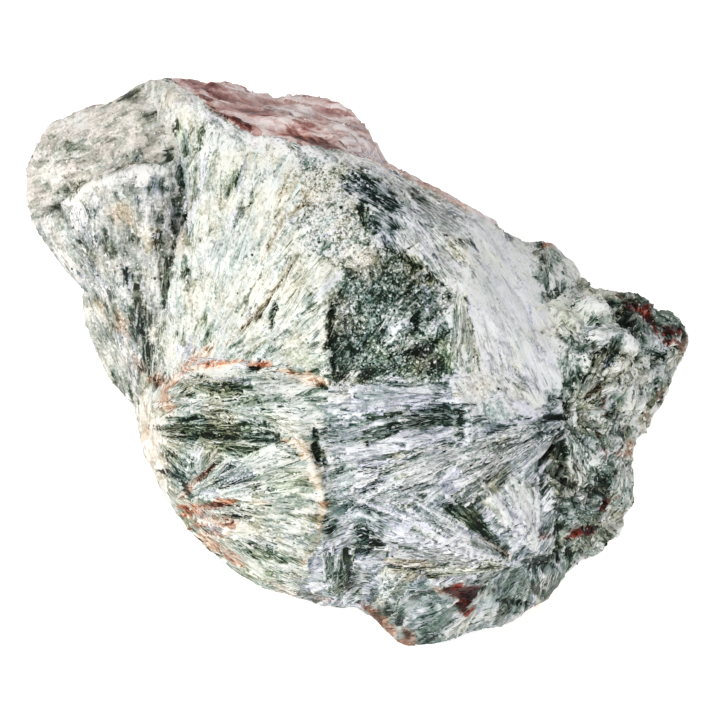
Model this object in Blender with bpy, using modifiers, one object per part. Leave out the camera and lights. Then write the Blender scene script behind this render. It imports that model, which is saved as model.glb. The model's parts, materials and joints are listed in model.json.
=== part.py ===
# Rough seraphinite: one broken lump of radiating chlorite, as it lies on a table.
# The broken face is described in its own frame, in millimetres from the middle of the face:
# across (to the right), up (up the face) and out (square to the face). The face leans back by FACE_PITCH.

import math

import bmesh
import bpy
from mathutils import Matrix, Vector, noise
from mathutils.geometry import delaunay_2d_cdt
from mathutils.kdtree import KDTree

MM = 0.001
FACE_PITCH = math.radians(50.0)  # how far above the horizontal the broken face looks
FLOOR = -22.6  # height of the resting plane below the middle of the face, mm
CUTTER_SIZE = 120.0  # side of the block that cuts the resting flat, mm
BLANK_STEP = 0.5  # grid of the remeshed blank, mm
RIM_SWELL = 1.007  # the rim is drawn this much larger, because smoothing the blank pulls it in
RIM_STEP = 0.3  # spacing of the rim's sample points, mm
RIM_CALM = 2.2  # nearer to the rim than this, seen square to the face, the stone's roughness fades, mm
FRONT_RING = 0.965  # where the ring just inside the rim lies, as a share of the way out to it
BACK_RING = 0.93
MOST_TRIANGLES = 9400

# Rows of the turn from the face's frame (across, up, out) to the world's.
FACE_TURN = Matrix((
    (1, 0, 0),
    (0, math.sin(FACE_PITCH), -math.cos(FACE_PITCH)),
    (0, math.cos(FACE_PITCH), math.sin(FACE_PITCH)),
))

# The rim, clockwise as seen square to the face. Each stretch has the height that the front gains and
# the depth that the back drops just inside the rim, then its points (across, up, out).
RIM = {
    "shoulder": (1.0, 5.0, [
        (-22.7, 27.3, -1.0), (-21.0, 28.1, 0.0), (-18.2, 28.2, -1.0),
    ]),
    "crust": (0.6, 6.0, [
        (-15.5, 27.7, -3.5), (-12.2, 27.6, -5.5), (-9.8, 26.9, -7.0), (-8.0, 26.4, -8.0),
        (-5.5, 26.6, -9.0), (-3.0, 26.2, -9.5), (-1.0, 25.0, -9.0), (0.8, 23.2, -7.5),
        (1.7, 21.6, -5.0), (2.0, 20.6, -2.5),
    ]),
    "crust edge": (0.0, 6.0, [
        (3.2, 19.4, 0.5), (5.0, 18.3, 2.5), (8.0, 16.8, 3.0), (10.5, 15.5, 3.0), (13.0, 13.9, 2.8),
    ]),
    "pale plane": (0.5, 5.0, [
        (16.0, 12.0, 1.5), (17.7, 11.6, 0.0),
    ]),
    "right knobs": (1.2, 4.0, [
        (18.8, 12.2, -2.0), (19.7, 11.6, -2.5), (20.2, 10.5, -2.5), (21.3, 9.7, -3.0),
        (22.0, 8.0, -3.0), (23.2, 6.9, -3.5), (24.0, 7.1, -5.0), (25.5, 6.8, -6.0), (27.4, 6.6, -7.0),
        (29.5, 4.9, -8.0),
    ]),
    "right tip": (1.5, 3.5, [
        (31.0, 5.0, -9.0), (32.2, 4.0, -9.0), (33.0, 2.3, -8.5), (32.7, 0.6, -8.0), (31.6, -1.0, -7.5),
        (30.9, -2.8, -7.2), (30.5, -4.3, -7.0),
    ]),
    "right teeth": (1.3, 4.0, [
        (29.4, -5.0, -6.5), (29.0, -6.8, -6.5), (27.6, -7.6, -6.5), (27.2, -9.5, -6.5),
        (27.2, -12.5, -7.0), (27.6, -14.4, -7.5), (26.3, -15.5, -7.5), (26.3, -17.4, -8.0),
        (24.8, -18.1, -8.0), (24.1, -19.6, -8.5), (22.2, -19.9, -8.5), (20.8, -21.5, -9.0),
        (20.0, -19.6, -8.0),
    ]),
    "foot": (1.2, 3.5, [
        (19.9, -22.0, -8.0), (19.4, -23.5, -8.0), (18.3, -24.5, -8.0), (16.5, -24.8, -7.5),
        (16.2, -25.9, -7.5), (14.0, -27.0, -7.0), (11.5, -27.2, -6.5), (9.5, -28.1, -6.0),
        (7.5, -28.7, -5.8), (6.0, -29.0, -5.6), (4.2, -28.8, -5.4), (3.0, -27.6, -5.2),
        (1.5, -25.9, -5.0),
    ]),
    "lower left": (1.2, 4.0, [
        (-0.5, -24.7, -5.0), (-3.2, -24.8, -4.5), (-6.0, -23.9, -4.2), (-8.5, -23.0, -4.0),
        (-10.0, -22.8, -4.0), (-11.5, -21.7, -3.8), (-13.8, -20.2, -3.6), (-16.0, -18.4, -3.5),
        (-18.0, -16.0, -3.3),
    ]),
    "left side": (2.0, 5.0, [
        (-18.9, -14.3, -3.2), (-20.3, -12.0, -3.0), (-21.4, -9.7, -3.0), (-22.1, -7.0, -3.0),
    ]),
    "back step": (0.8, 3.0, [
        (-22.6, -4.4, -8.5), (-24.1, -3.4, -9.0), (-25.4, -1.5, -9.3), (-26.8, 1.5, -9.5),
        (-27.7, 4.0, -9.5), (-28.1, 6.4, -9.0),
    ]),
    "left lobe": (1.6, 4.0, [
        (-27.9, 7.4, -5.0), (-29.9, 9.6, -4.6), (-31.6, 11.7, -4.4), (-32.8, 13.8, -4.2),
        (-33.4, 16.2, -4.0), (-33.4, 18.5, -4.0), (-32.7, 20.8, -3.8), (-31.8, 22.6, -3.6),
        (-30.2, 24.2, -3.4), (-28.0, 25.2, -3.0), (-26.0, 25.6, -2.4), (-24.5, 26.2, -1.6),
    ]),
}

# Lines on the broken face: each runs along an edge, a ledge's foot or a crack's floor.
FACE_LINES = {
    "crust ridge": [
        (-18.6, 27.0, 3.2), (-15.8, 25.8, 5.2), (-13.5, 24.2, 6.4), (-11.5, 22.9, 7.4),
        (-8.5, 22.3, 8.2), (-5.5, 21.5, 8.6), (-2.0, 20.9, 9.0), (1.0, 20.0, 8.6), (4.0, 18.5, 7.4),
        (7.0, 16.9, 6.8), (10.0, 15.2, 6.4), (12.6, 13.6, 6.0),
    ],
    "crust fold": [
        (-14.0, 26.6, 0.0), (-9.5, 25.0, 0.5), (-5.0, 24.3, 1.2), (-1.5, 23.2, 1.4), (1.0, 21.2, 2.0),
    ],
    "crevice left lip": [
        (-18.6, 18.9, 4.6), (-18.8, 16.0, 4.8), (-18.9, 13.0, 5.0), (-19.6, 9.5, 4.6),
        (-20.1, 6.5, 4.0),
    ],
    "crevice floor": [
        (-17.8, 18.4, 1.5), (-18.0, 16.2, -0.2), (-18.2, 13.2, 0.0), (-18.9, 9.8, 1.2),
        (-19.6, 6.6, 2.4),
    ],
    "crevice right lip": [
        (-16.4, 18.6, 6.0), (-16.6, 15.8, 6.0), (-17.2, 12.8, 6.2), (-18.0, 9.6, 5.8),
        (-18.9, 6.4, 4.8),
    ],
    "wedge top": [
        (-30.0, 15.2, -0.6), (-28.4, 17.0, 1.6), (-26.6, 18.2, 3.2), (-24.6, 19.0, 4.2),
        (-22.6, 19.5, 4.8), (-20.6, 19.7, 4.9), (-18.8, 19.5, 4.8),
    ],
    "ledge floor": [
        (-30.6, 15.9, -2.4), (-28.8, 17.7, -1.0), (-26.8, 19.0, 0.6), (-24.7, 19.9, 1.6),
        (-22.6, 20.4, 2.0), (-20.4, 20.6, 1.8), (-18.8, 20.6, 1.2),
    ],
    "wedge lower edge": [
        (-26.6, 6.2, -2.6), (-24.6, 2.8, -1.4), (-22.9, -1.0, -0.6), (-21.9, -3.6, -0.4),
    ],
    "back step foot": [
        (-26.9, 5.6, -8.2), (-25.2, 2.2, -8.0), (-23.4, -1.4, -7.6), (-22.4, -3.6, -7.2),
    ],
    "plate edge": [(-3.3, 11.0, 14.2), (-3.3, 6.0, 14.6), (-3.2, 1.0, 14.4), (-3.1, -2.2, 13.8)],
    "plate foot": [(-2.8, 11.0, 13.4), (-2.8, 6.0, 13.6), (-2.7, 1.0, 13.4), (-2.6, -2.2, 13.2)],
    "red seam": [(-17.4, -0.9, 4.4), (-13.5, -0.9, 6.6), (-9.0, -1.2, 9.4), (-5.0, -2.4, 11.6)],
    "vein": [
        (-5.8, -8.0, 12.0), (-4.6, -11.0, 11.2), (-3.1, -14.2, 10.4), (-3.8, -16.6, 9.2),
        (-5.8, -20.8, 5.6),
    ],
    "vein foot": [
        (-4.6, -8.0, 10.6), (-3.8, -11.2, 10.0), (-2.3, -14.4, 9.6), (-3.0, -17.0, 8.4),
        (-5.0, -21.2, 4.8),
    ],
    "fan ledge": [
        (19.6, -13.6, 6.2), (18.0, -18.6, 5.4), (16.2, -19.8, 4.8), (12.0, -22.0, 4.0),
        (8.0, -22.8, 3.6), (4.6, -22.2, 3.6),
    ],
    "fan ledge foot": [
        (20.6, -14.0, 2.6), (19.0, -19.4, 0.6), (16.9, -20.8, 0.4), (12.4, -22.9, 0.6),
        (8.0, -23.7, 0.8), (4.4, -23.2, 1.4),
    ],
    "block edge": [(9.2, -2.2, 14.2), (8.9, -4.6, 13.8), (10.4, -5.6, 13.6), (10.3, -8.0, 13.0)],
    "block foot": [(8.4, -2.2, 13.2), (8.1, -5.0, 12.6), (9.7, -6.3, 12.4), (9.6, -8.4, 12.2)],
    "green groove": [(4.4, 10.2, 13.4), (7.0, 8.6, 12.8), (8.8, 6.8, 12.8)],
    "tan crack": [(-9.9, 10.8, 11.0), (-7.6, 14.0, 11.0), (-5.4, 15.6, 11.2)],
    "tan crack lip": [(-9.2, 10.8, 11.9), (-7.0, 13.6, 12.0), (-5.2, 15.0, 12.2)],
    "left rim edge": [(-19.4, -4.2, 4.4), (-19.7, -7.2, 4.2), (-19.7, -10.2, 3.0), (-18.2, -13.4, 1.6)],
}

# Single heights on the broken face, between those lines.
FACE_POINTS = {
    "upper left lobe": [
        (-30.4, 21.4, -0.2), (-29.8, 18.4, 0.2), (-27.6, 22.8, 1.4), (-26.6, 20.6, 2.6),
        (-24.0, 23.6, 3.0), (-22.6, 22.0, 3.8), (-20.6, 24.6, 3.4), (-19.6, 22.6, 2.6),
        (-22.4, 25.8, 1.8), (-19.2, 25.4, 3.6),
    ],
    "wedge": [
        (-31.2, 13.4, -1.6), (-28.8, 12.6, 1.0), (-27.0, 15.6, 3.4), (-24.0, 16.8, 5.0),
        (-21.0, 16.6, 5.6), (-26.2, 9.6, 2.2), (-22.6, 10.8, 4.8), (-20.6, 12.0, 5.4),
        (-23.8, 5.6, 2.2), (-21.0, 5.0, 3.4), (-21.2, 1.2, 1.4), (-20.6, -2.2, 1.6), (-20.0, 1.0, 2.6),
    ],
    "pale plate": [
        (-16.0, 22.2, 5.6), (-16.2, 20.4, 5.8), (-13.0, 19.0, 7.8), (-8.0, 17.0, 10.4),
        (-11.0, 11.0, 9.4), (-14.6, 13.4, 7.2), (-13.0, 6.0, 7.8), (-15.6, 7.0, 6.6), (-15.2, 1.4, 6.2),
        (-18.2, 2.0, 4.4), (-7.0, 6.0, 12.0), (-9.6, 2.0, 9.8), (-4.6, 9.6, 14.0),
    ],
    "granular shoulder": [
        (-1.5, 16.5, 12.4), (-3.4, 13.4, 13.8), (-3.0, 18.6, 11.2), (1.0, 18.0, 11.0),
    ],
    "dark middle": [
        (2.0, 6.0, 14.8), (0.6, 13.0, 14.0), (4.4, 3.6, 15.8), (7.2, 3.0, 15.0), (6.9, 0.9, 13.4),
        (2.0, 0.0, 14.4), (4.0, 14.6, 12.4), (7.6, 12.4, 12.2), (6.8, -1.0, 14.2), (2.0, -3.6, 14.0),
    ],
    "pale plane": [
        (10.0, 11.6, 11.0), (15.4, 11.0, 4.6), (17.4, 9.6, 3.8), (18.6, 5.0, 6.0), (18.8, 0.0, 8.2),
        (11.0, 6.0, 13.6), (14.0, 4.0, 11.2), (14.0, -3.0, 12.0), (18.0, -5.2, 9.6),
    ],
    "right crumble": [
        (19.0, 10.6, 0.6), (20.6, 6.8, 2.8), (24.0, 5.2, 3.6), (22.0, 3.4, 4.6), (24.2, 1.2, 6.2),
        (27.6, 2.6, 2.2), (27.8, 4.4, -2.2), (26.0, -2.0, 4.6), (29.2, 1.8, -1.0), (29.6, -2.0, -1.6),
        (31.4, 2.8, -4.6), (28.2, -4.0, -0.4), (24.2, -5.6, 5.2), (26.0, -8.4, 0.6), (22.0, -8.6, 6.4),
        (24.6, -11.4, 0.6), (22.6, -13.4, 1.6), (25.6, -13.6, -2.4), (23.8, -16.0, -1.4),
        (21.4, -17.6, -2.2), (22.8, -18.4, -4.0), (20.9, -20.2, -6.2), (24.8, -16.6, -4.6),
    ],
    "lower fans": [
        (-1.6, -6.6, 12.4), (4.0, -7.0, 13.6), (16.0, -6.6, 11.4), (20.0, -7.0, 9.0),
        (-0.8, -12.0, 11.4), (6.0, -12.0, 12.4), (12.0, -12.0, 11.0), (17.0, -11.0, 9.0),
        (4.0, -17.0, 9.6), (10.0, -17.4, 8.8), (-1.0, -19.6, 6.4), (2.0, -20.8, 5.4),
        (-2.0, -22.8, 1.6),
    ],
    "grey foot": [
        (6.0, -24.6, 0.6), (10.2, -25.2, -0.6), (14.0, -24.8, -1.4), (8.0, -27.0, -2.6),
        (4.4, -26.4, -1.6), (17.0, -22.6, -1.6), (18.6, -20.6, -1.8),
    ],
    "left fans": [
        (-16.0, -4.2, 6.6), (-11.0, -4.0, 9.4), (-6.0, -4.4, 12.2), (-13.0, -8.4, 8.6),
        (-16.0, -10.4, 6.2), (-11.0, -12.4, 8.2), (-5.8, -12.4, 10.4), (-14.0, -16.2, 4.4),
        (-8.0, -17.0, 7.2), (-10.0, -20.2, 3.0), (-21.2, -4.8, 2.0), (-21.0, -7.8, 1.4),
    ],
}

# The hidden side, as heights behind the face: a steep back wall, an uneven underside and two thin ends.
BACK_POINTS = {
    "back wall top": [
        (-20.0, 24.6, -11.0), (-14.0, 24.8, -13.0), (-8.0, 24.2, -15.0), (-2.0, 22.6, -15.5),
        (4.0, 17.0, -13.0), (10.0, 13.0, -11.0), (15.0, 10.0, -9.0),
    ],
    "back wall middle": [
        (-22.0, 19.0, -17.0), (-15.0, 18.6, -21.0), (-7.0, 17.0, -22.0), (1.0, 14.0, -20.5),
        (8.0, 9.6, -18.5), (15.0, 5.6, -15.0), (20.0, 4.4, -12.0),
    ],
    "back wall foot": [
        (-16.0, 9.4, -26.0), (-8.0, 8.4, -28.5), (1.0, 6.6, -28.5), (9.0, 2.6, -24.5),
        (16.0, -0.6, -19.0),
    ],
    "underside": [
        (-13.0, -1.0, -24.5), (-6.0, 0.6, -28.4), (2.0, -1.6, -28.2), (9.0, -5.0, -24.2),
        (-8.0, -8.0, -22.0), (1.0, -9.0, -22.6), (9.0, -11.6, -19.4), (-5.0, -15.0, -15.8),
        (4.0, -17.0, -15.6), (11.0, -18.4, -13.4), (6.0, -23.6, -9.6), (12.0, -23.0, -9.6),
    ],
    "left end": [
        (-27.0, 18.6, -13.0), (-28.4, 13.4, -13.0), (-24.0, 9.0, -18.0), (-23.0, 2.6, -17.4),
        (-18.0, -4.0, -18.0),
    ],
    "left foot": [(-17.4, -9.6, -12.0), (-13.4, -13.6, -12.4), (-10.0, -17.6, -10.6)],
    "right end": [
        (29.4, 1.8, -11.6), (26.0, 3.0, -12.0), (27.4, -2.4, -12.6), (22.6, -5.0, -15.4),
        (23.0, -12.0, -13.4), (18.6, -16.6, -13.0),
    ],
}


# The sprays of fibres that stand out on the broken face, one row each: the point they spread from
# (across, up), the way they point in degrees from across, half their spread in degrees, their length,
# how many vanes they have and how high a vane stands, in mm.
FEATHERS = {
    "wedge": ((-20.8, -2.6), 106, 17, 21.0, 5, 0.30),
    "tall plate": ((-15.8, 0.2), 62, 36, 25.0, 11, 0.34),
    "under the seam": ((-18.2, -1.6), -11, 17, 15.5, 4, 0.42),
    "dark streaks": ((-20.4, -6.6), -4, 10, 15.0, 3, 0.42),
    "chevrons": ((-20.6, -9.0), -36, 20, 9.0, 3, 0.34),
    "white spread": ((-19.2, -14.4), 14, 21, 15.5, 6, 0.42),
    "lower left rim": ((-18.4, -15.8), -16, 13, 18.0, 3, 0.34),
    "dark upper": ((-1.0, 19.6), -44, 22, 17.0, 6, 0.36),
    "hairlines": ((7.0, 18.8), -60, 13, 22.0, 6, 0.16),
    "great feather": ((21.6, -5.0), 190, 15, 25.5, 7, 0.46),
    "lower feather": ((16.0, -20.4), 164, 20, 19.5, 7, 0.42),
    "upright feather": ((17.8, -19.6), 126, 17, 10.5, 4, 0.40),
    "upright greens": ((-2.0, -26.0), 84, 16, 9.0, 4, 0.34),
    "grey foot": ((17.6, -21.4), 203, 17, 14.0, 5, 0.34),
}
SHORTEST_VANE = 2.2  # nearer than this to their point the vanes run together, mm
VANE_CREST = 0.66  # where across a vane its crest stands
VANE_UNEVENNESS = 1.1  # how far a vane's edge strays, in vanes
VANE_RELIEF = 1.3  # all the vanes' heights are scaled by this
VANE_STRAY_RATE = 0.8  # how quickly that straying changes from one vane to the next
VANE_END = 0.8  # from this share of its length a vane runs out
VANE_BREAKS = (0.7, 0.6, 0.22, 3.1)  # least height, its change, changes per mm, step in the noise per vane

# Right of this line, from top to bottom (up, across), the broken face crumbles into small blocks.
CRUMBLE_EDGE = [(14.0, 18.0), (6.0, 20.5), (-2.0, 23.0), (-9.0, 22.0), (-14.0, 20.6), (-30.0, 20.0)]

# How the stone breaks, away from the feathers: (size of a piece in mm, share of a piece's full tilt).
CRUMBLE_BLOCKS = ((3.4, 0.55), (1.7, 0.3))
BACK_CHIPS = ((11.0, 0.42), (4.2, 0.34))
CHIP_SEEDS = (0.0, 31.7, 67.1)  # where the three parts of a chip's tilt are read from the noise
CHIP_SPREAD = 5.7  # how far apart in the noise two neighbouring chips are read
CHIP_TILT = 0.8
CHIP_LIFT = 0.1  # how much chips differ in height, as a share of their size

# Rounded unevenness: (waves per mm, height in mm).
BACK_LUMPS = (0.11, 1.1)
GRIT = (0.45, 0.22)

CRUST_START = -19.0  # the crust lies right of here and above the ridge, mm
CRUST_WAVE = 1.7  # how fast the crust's layers follow each other, radians per mm above the ridge
CRUST_RELIEF = 0.34  # mm
CRUST_BEND = (0.12, 2.4, 0.05)  # of the layers: waves per mm, strength and drift to the right, radians
CRUST_RISE = (0.3, 1.6)  # the layers begin this far above the ridge and are full here, mm

# Where one kind of surface passes into the next, as the ends of a soft step.
FRONT_EDGE = (-0.15, 0.35)  # cosine of the angle to the broken face's own direction
CRUST_EDGE = (-0.3, 0.6)  # mm above the ridge
CRUMBLE_BLEND = (-1.0, 1.5)  # mm right of the crumbling edge


def clear_scene():
    for item in list(bpy.data.objects):
        bpy.data.objects.remove(item, do_unlink=True)


def rim_rings():
    """The rim's points, and the rings just inside it on the front and on the back."""
    rim = []
    front = []
    back = []
    for lift, drop, points in RIM.values():
        for across, up, out in points:
            rim.append(Vector((across * RIM_SWELL, up * RIM_SWELL, out)))
            if lift:
                front.append(Vector((across * FRONT_RING, up * FRONT_RING, out + lift)))
            back.append(Vector((across * BACK_RING, up * BACK_RING, out - drop)))
    return rim, front, back


def triangulated(rim, points, lines):
    """Triangles over the rim's outline through all the given heights, as (points, corner triples)."""
    heights = list(rim)
    edges = []
    for line in lines:
        start = len(heights)
        heights += [Vector(point) for point in line]
        edges += [(start + i, start + i + 1) for i in range(len(line) - 1)]
    heights += points
    flat = [height.xy for height in heights]
    made = delaunay_2d_cdt(flat, edges, [list(range(len(rim)))], 1, 1e-4)
    places, _, faces, originals = made[:4]
    if len(places) != len(heights):
        raise ValueError(f"lines cross or points meet: {len(heights)} heights, {len(places)} places")
    back_to = [heights[ids[0]] for ids in originals]
    return back_to, faces


def coarse_cage():
    """The closed cage of flat facets: the broken face in front and the hidden side behind meet at the rim."""
    rim, front_ring, back_ring = rim_rings()
    face_points = front_ring + [Vector(p) for group in FACE_POINTS.values() for p in group]
    hidden_points = back_ring + [Vector(p) for group in BACK_POINTS.values() for p in group]
    cage = bmesh.new()
    made = {}

    def corner(point):
        key = tuple(round(value, 4) for value in point)
        if key not in made:
            made[key] = cage.verts.new(point)
        return made[key]

    sides = (
        (triangulated(rim, face_points, FACE_LINES.values()), False),
        (triangulated(rim, hidden_points, []), True),
    )
    for (heights, faces), behind in sides:
        for face in faces:
            corners = [corner(heights[i]) for i in face]
            cage.faces.new(reversed(corners) if behind else corners)
    bmesh.ops.recalc_face_normals(cage, faces=cage.faces)
    return cage


def mesh_object(name, source, collection):
    mesh = bpy.data.meshes.new(name)
    source.to_mesh(mesh)
    source.free()
    made = bpy.data.objects.new(name, mesh)
    collection.objects.link(made)
    return made


def bake_modifiers(item):
    """Replaces the object's mesh with the one that its modifiers make."""
    graph = bpy.context.evaluated_depsgraph_get()
    old = item.data
    item.data = bpy.data.meshes.new_from_object(item.evaluated_get(graph))
    item.modifiers.clear()
    bpy.data.meshes.remove(old)


def remesh_blank(stone):
    """Turns the cage of uneven facets into one even grid of small faces."""
    remesh = stone.modifiers.new("blank", "REMESH")
    remesh.mode = "VOXEL"
    remesh.voxel_size = BLANK_STEP * MM
    soften = stone.modifiers.new("soften", "SMOOTH")
    soften.factor = 0.5
    soften.iterations = 1
    bake_modifiers(stone)


def along_line(line, at):
    """The value of a broken line of (position, value) pairs, positions falling, at one position."""
    for (high, value), (low, after) in zip(line, line[1:]):
        if at >= low:
            share = min(1.0, max(0.0, (high - at) / (high - low)))
            return value + (after - value) * share
    return line[-1][1]


def smooth_step(value, low, high):
    share = min(1.0, max(0.0, (value - low) / (high - low)))
    return share * share * (3.0 - 2.0 * share)


def vane_height(at):
    """How far the vanes of the feathers stand out at a point of the broken face."""
    tallest = 0.0
    for (across, up), heading, spread, length, vanes, height in FEATHERS.values():
        east = at.x - across
        north = at.y - up
        reach = math.hypot(east, north)
        if reach > length:
            continue
        turn = (math.degrees(math.atan2(north, east)) - heading + 180.0) % 360.0 - 180.0
        if abs(turn) > spread:
            continue
        place = (turn / spread + 1.0) / 2.0 * vanes + across
        place += VANE_UNEVENNESS * noise.noise(Vector((place * VANE_STRAY_RATE, heading, 0.0)))
        within = place % 1.0
        blade = within / VANE_CREST if within < VANE_CREST else (1.0 - within) / (1.0 - VANE_CREST)
        ends = smooth_step(reach, 0.0, SHORTEST_VANE * 2.0)
        ends *= 1.0 - smooth_step(reach, length * VANE_END, length)
        least, change, rate, step = VANE_BREAKS
        broken = least + change * noise.noise(Vector((reach * rate, math.floor(place) * step, heading)))
        tallest = max(tallest, VANE_RELIEF * height * blade * ends * broken)
    return tallest


def chip_height(at, size):
    """Height of flat chips about size mm across, each tilted its own way, as rock breaks."""
    place = at / size
    middle = noise.voronoi(place)[1][0]
    tilt = Vector([noise.noise(middle * CHIP_SPREAD + Vector((offset, 0, 0))) for offset in CHIP_SEEDS])
    return size * (CHIP_TILT * tilt.dot(place - middle) + CHIP_LIFT * tilt.x)


def rim_distance_tree():
    """The rim's outline as closely spaced points, to measure how near a point is to it."""
    outline = [Vector((point[0], point[1])) for _, _, points in RIM.values() for point in points]
    places = []
    for here, there in zip(outline, outline[1:] + outline[:1]):
        steps = max(1, math.ceil((there - here).length / RIM_STEP))
        places += [here.lerp(there, step / steps) for step in range(steps)]
    tree = KDTree(len(places))
    for index, place in enumerate(places):
        tree.insert(place.to_3d(), index)
    tree.balance()
    return tree


def crust_fold(at, above):
    """The wavy layers of the crust, which run along the ridge."""
    rate, strength, drift = CRUST_BEND
    bend = noise.noise(Vector((at.x * rate, at.y * rate, 0.0))) * strength + at.x * drift
    return CRUST_RELIEF * math.sin(above * CRUST_WAVE + bend) * smooth_step(above, *CRUST_RISE)


def chips(at, layers):
    return sum(share * chip_height(at, size) for size, share in layers)


def waves(at, layer):
    rate, height = layer
    return noise.noise(at * rate) * height


def roughen(stone):
    """Moves each point along its normal: vanes, blocks and crust in front, chips and lumps behind."""
    ridge = [(across, up) for across, up, _ in reversed(FACE_LINES["crust ridge"])]
    to_face = FACE_TURN.inverted()
    toward_viewer = FACE_TURN @ Vector((0, 0, 1))
    rim = rim_distance_tree()
    vertices = stone.data.vertices
    normals = [vertex.normal.copy() for vertex in vertices]
    for vertex, normal in zip(vertices, normals):
        at = to_face @ (vertex.co / MM)
        shown = smooth_step(normal.dot(toward_viewer), *FRONT_EDGE)
        above = at.y - along_line(ridge, at.x)
        crust = smooth_step(above, *CRUST_EDGE) if at.x > CRUST_START else 0.0
        past_edge = at.x - along_line(CRUMBLE_EDGE, at.y)
        crumbled = smooth_step(past_edge, *CRUMBLE_BLEND)
        feathered = (1.0 - crust) * (1.0 - crumbled)
        front = feathered * vane_height(at) + crust * crust_fold(at, above)
        front += crumbled * chips(at, CRUMBLE_BLOCKS)
        back = chips(at, BACK_CHIPS) + waves(at, BACK_LUMPS)
        height = shown * front + (1.0 - shown) * back + waves(at, GRIT)
        calm = smooth_step(rim.find((at.x, at.y, 0.0))[2], 0.0, RIM_CALM)
        vertex.co += normal * MM * height * calm


def rest_on_floor(stone):
    """Cuts the lowest bumps off flat and puts the origin under the middle of the stone, on that flat."""
    below = (FLOOR - CUTTER_SIZE / 2) * MM
    bpy.ops.mesh.primitive_cube_add(size=CUTTER_SIZE * MM, location=(0, 0, below))
    cutter = bpy.context.active_object
    cut = stone.modifiers.new("resting flat", "BOOLEAN")
    cut.operation = "DIFFERENCE"
    cut.object = cutter
    bake_modifiers(stone)
    bpy.data.objects.remove(cutter, do_unlink=True)
    corners = [vertex.co for vertex in stone.data.vertices]
    middle = [(min(c[axis] for c in corners) + max(c[axis] for c in corners)) / 2 for axis in (0, 1)]
    shift = Vector((-middle[0], -middle[1], -FLOOR * MM))
    stone.data.transform(Matrix.Translation(shift))
    return shift


def thin_out(stone):
    decimate = stone.modifiers.new("thin out", "DECIMATE")
    triangles = sum(len(face.vertices) - 2 for face in stone.data.polygons)
    decimate.ratio = MOST_TRIANGLES / triangles
    decimate.use_collapse_triangulate = True
    bake_modifiers(stone)


def stone_material():
    """Pale silvery grey-green, the mean of the broken face, with the low silky gloss of chlorite."""
    material = bpy.data.materials.new("silvery green chlorite")
    material.use_nodes = True
    shader = material.node_tree.nodes["Principled BSDF"]
    shader.inputs["Base Color"].default_value = (0.42, 0.45, 0.41, 1.0)
    shader.inputs["Roughness"].default_value = 0.62
    shader.inputs["Metallic"].default_value = 0.0
    return material


def main():
    clear_scene()
    stone_set = bpy.data.collections.new("rough_seraphinite")
    bpy.context.scene.collection.children.link(stone_set)
    stone = mesh_object("seraphinite", coarse_cage(), stone_set)
    stone.data.transform(FACE_TURN.to_4x4() @ Matrix.Scale(MM, 4))
    remesh_blank(stone)
    roughen(stone)
    thin_out(stone)
    shift = rest_on_floor(stone)
    stone.data.materials.append(stone_material())
    face_middle = bpy.data.objects.new("face_middle", None)
    face_middle.location = shift
    stone_set.objects.link(face_middle)


main()
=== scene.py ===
import json
import math
import bpy
import numpy as np
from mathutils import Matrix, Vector
from mathutils.bvhtree import BVHTree

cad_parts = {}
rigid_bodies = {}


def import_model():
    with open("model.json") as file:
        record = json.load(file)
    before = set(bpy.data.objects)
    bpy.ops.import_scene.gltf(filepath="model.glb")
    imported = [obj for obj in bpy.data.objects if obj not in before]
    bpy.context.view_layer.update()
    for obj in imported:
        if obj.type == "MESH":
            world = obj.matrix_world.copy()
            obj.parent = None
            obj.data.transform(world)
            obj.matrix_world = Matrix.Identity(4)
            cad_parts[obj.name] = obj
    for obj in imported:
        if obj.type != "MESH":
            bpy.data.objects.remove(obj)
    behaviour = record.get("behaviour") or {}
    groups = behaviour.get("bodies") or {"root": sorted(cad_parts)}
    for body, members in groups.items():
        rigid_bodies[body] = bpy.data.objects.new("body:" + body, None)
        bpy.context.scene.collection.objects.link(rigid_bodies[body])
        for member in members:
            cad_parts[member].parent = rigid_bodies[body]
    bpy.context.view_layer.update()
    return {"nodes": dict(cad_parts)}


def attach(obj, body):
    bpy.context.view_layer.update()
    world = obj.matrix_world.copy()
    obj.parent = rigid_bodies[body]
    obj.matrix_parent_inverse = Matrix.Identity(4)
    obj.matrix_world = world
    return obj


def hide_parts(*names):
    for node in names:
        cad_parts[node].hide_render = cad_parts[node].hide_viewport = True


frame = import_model()

# Places on the stone are written in the broken face's own frame, in mm from its middle:
# across to the right, up the face, and out of it, toward the viewer.
mm = 0.001
faceLean = 50   # how many degrees above the horizontal the broken face looks
faceMiddle = np.array((0.265, -4.894, 22.6))   # mm, in the world
leanSine, leanCosine = math.sin(math.radians(faceLean)), math.cos(math.radians(faceLean))
faceAxes = np.array(((1, 0, 0), (0, leanSine, leanCosine), (0, -leanCosine, leanSine)))


def toFace(points):   # from metres in the world to mm on the face
    return (points / mm - faceMiddle) @ faceAxes.T


def toWorld(points):
    return (points @ faceAxes + faceMiddle) * mm


# Selection and meshes

def deselectAll():
    for item in bpy.data.objects:
        item.select_set(False)


def makeActive(item):
    deselectAll()
    item.select_set(True)
    bpy.context.view_layer.objects.active = item


def applyModifier(item, name, kind, **settings):
    makeActive(item)
    modifier = item.modifiers.new(name, kind)
    for key, value in settings.items():
        setattr(modifier, key, value)
    bpy.ops.object.modifier_apply(modifier=name)


def readValues(data, name, each=3, whole=False):
    values = np.empty(len(data) * each, np.int32 if whole else np.float32)
    data.foreach_get(name, values)
    values = values.reshape(-1, each)
    return values if whole else values.astype(np.float64)


def trianglesOf(mesh):
    mesh.calc_loop_triangles()
    return readValues(mesh.loop_triangles, "vertices", 3, whole=True)


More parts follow.
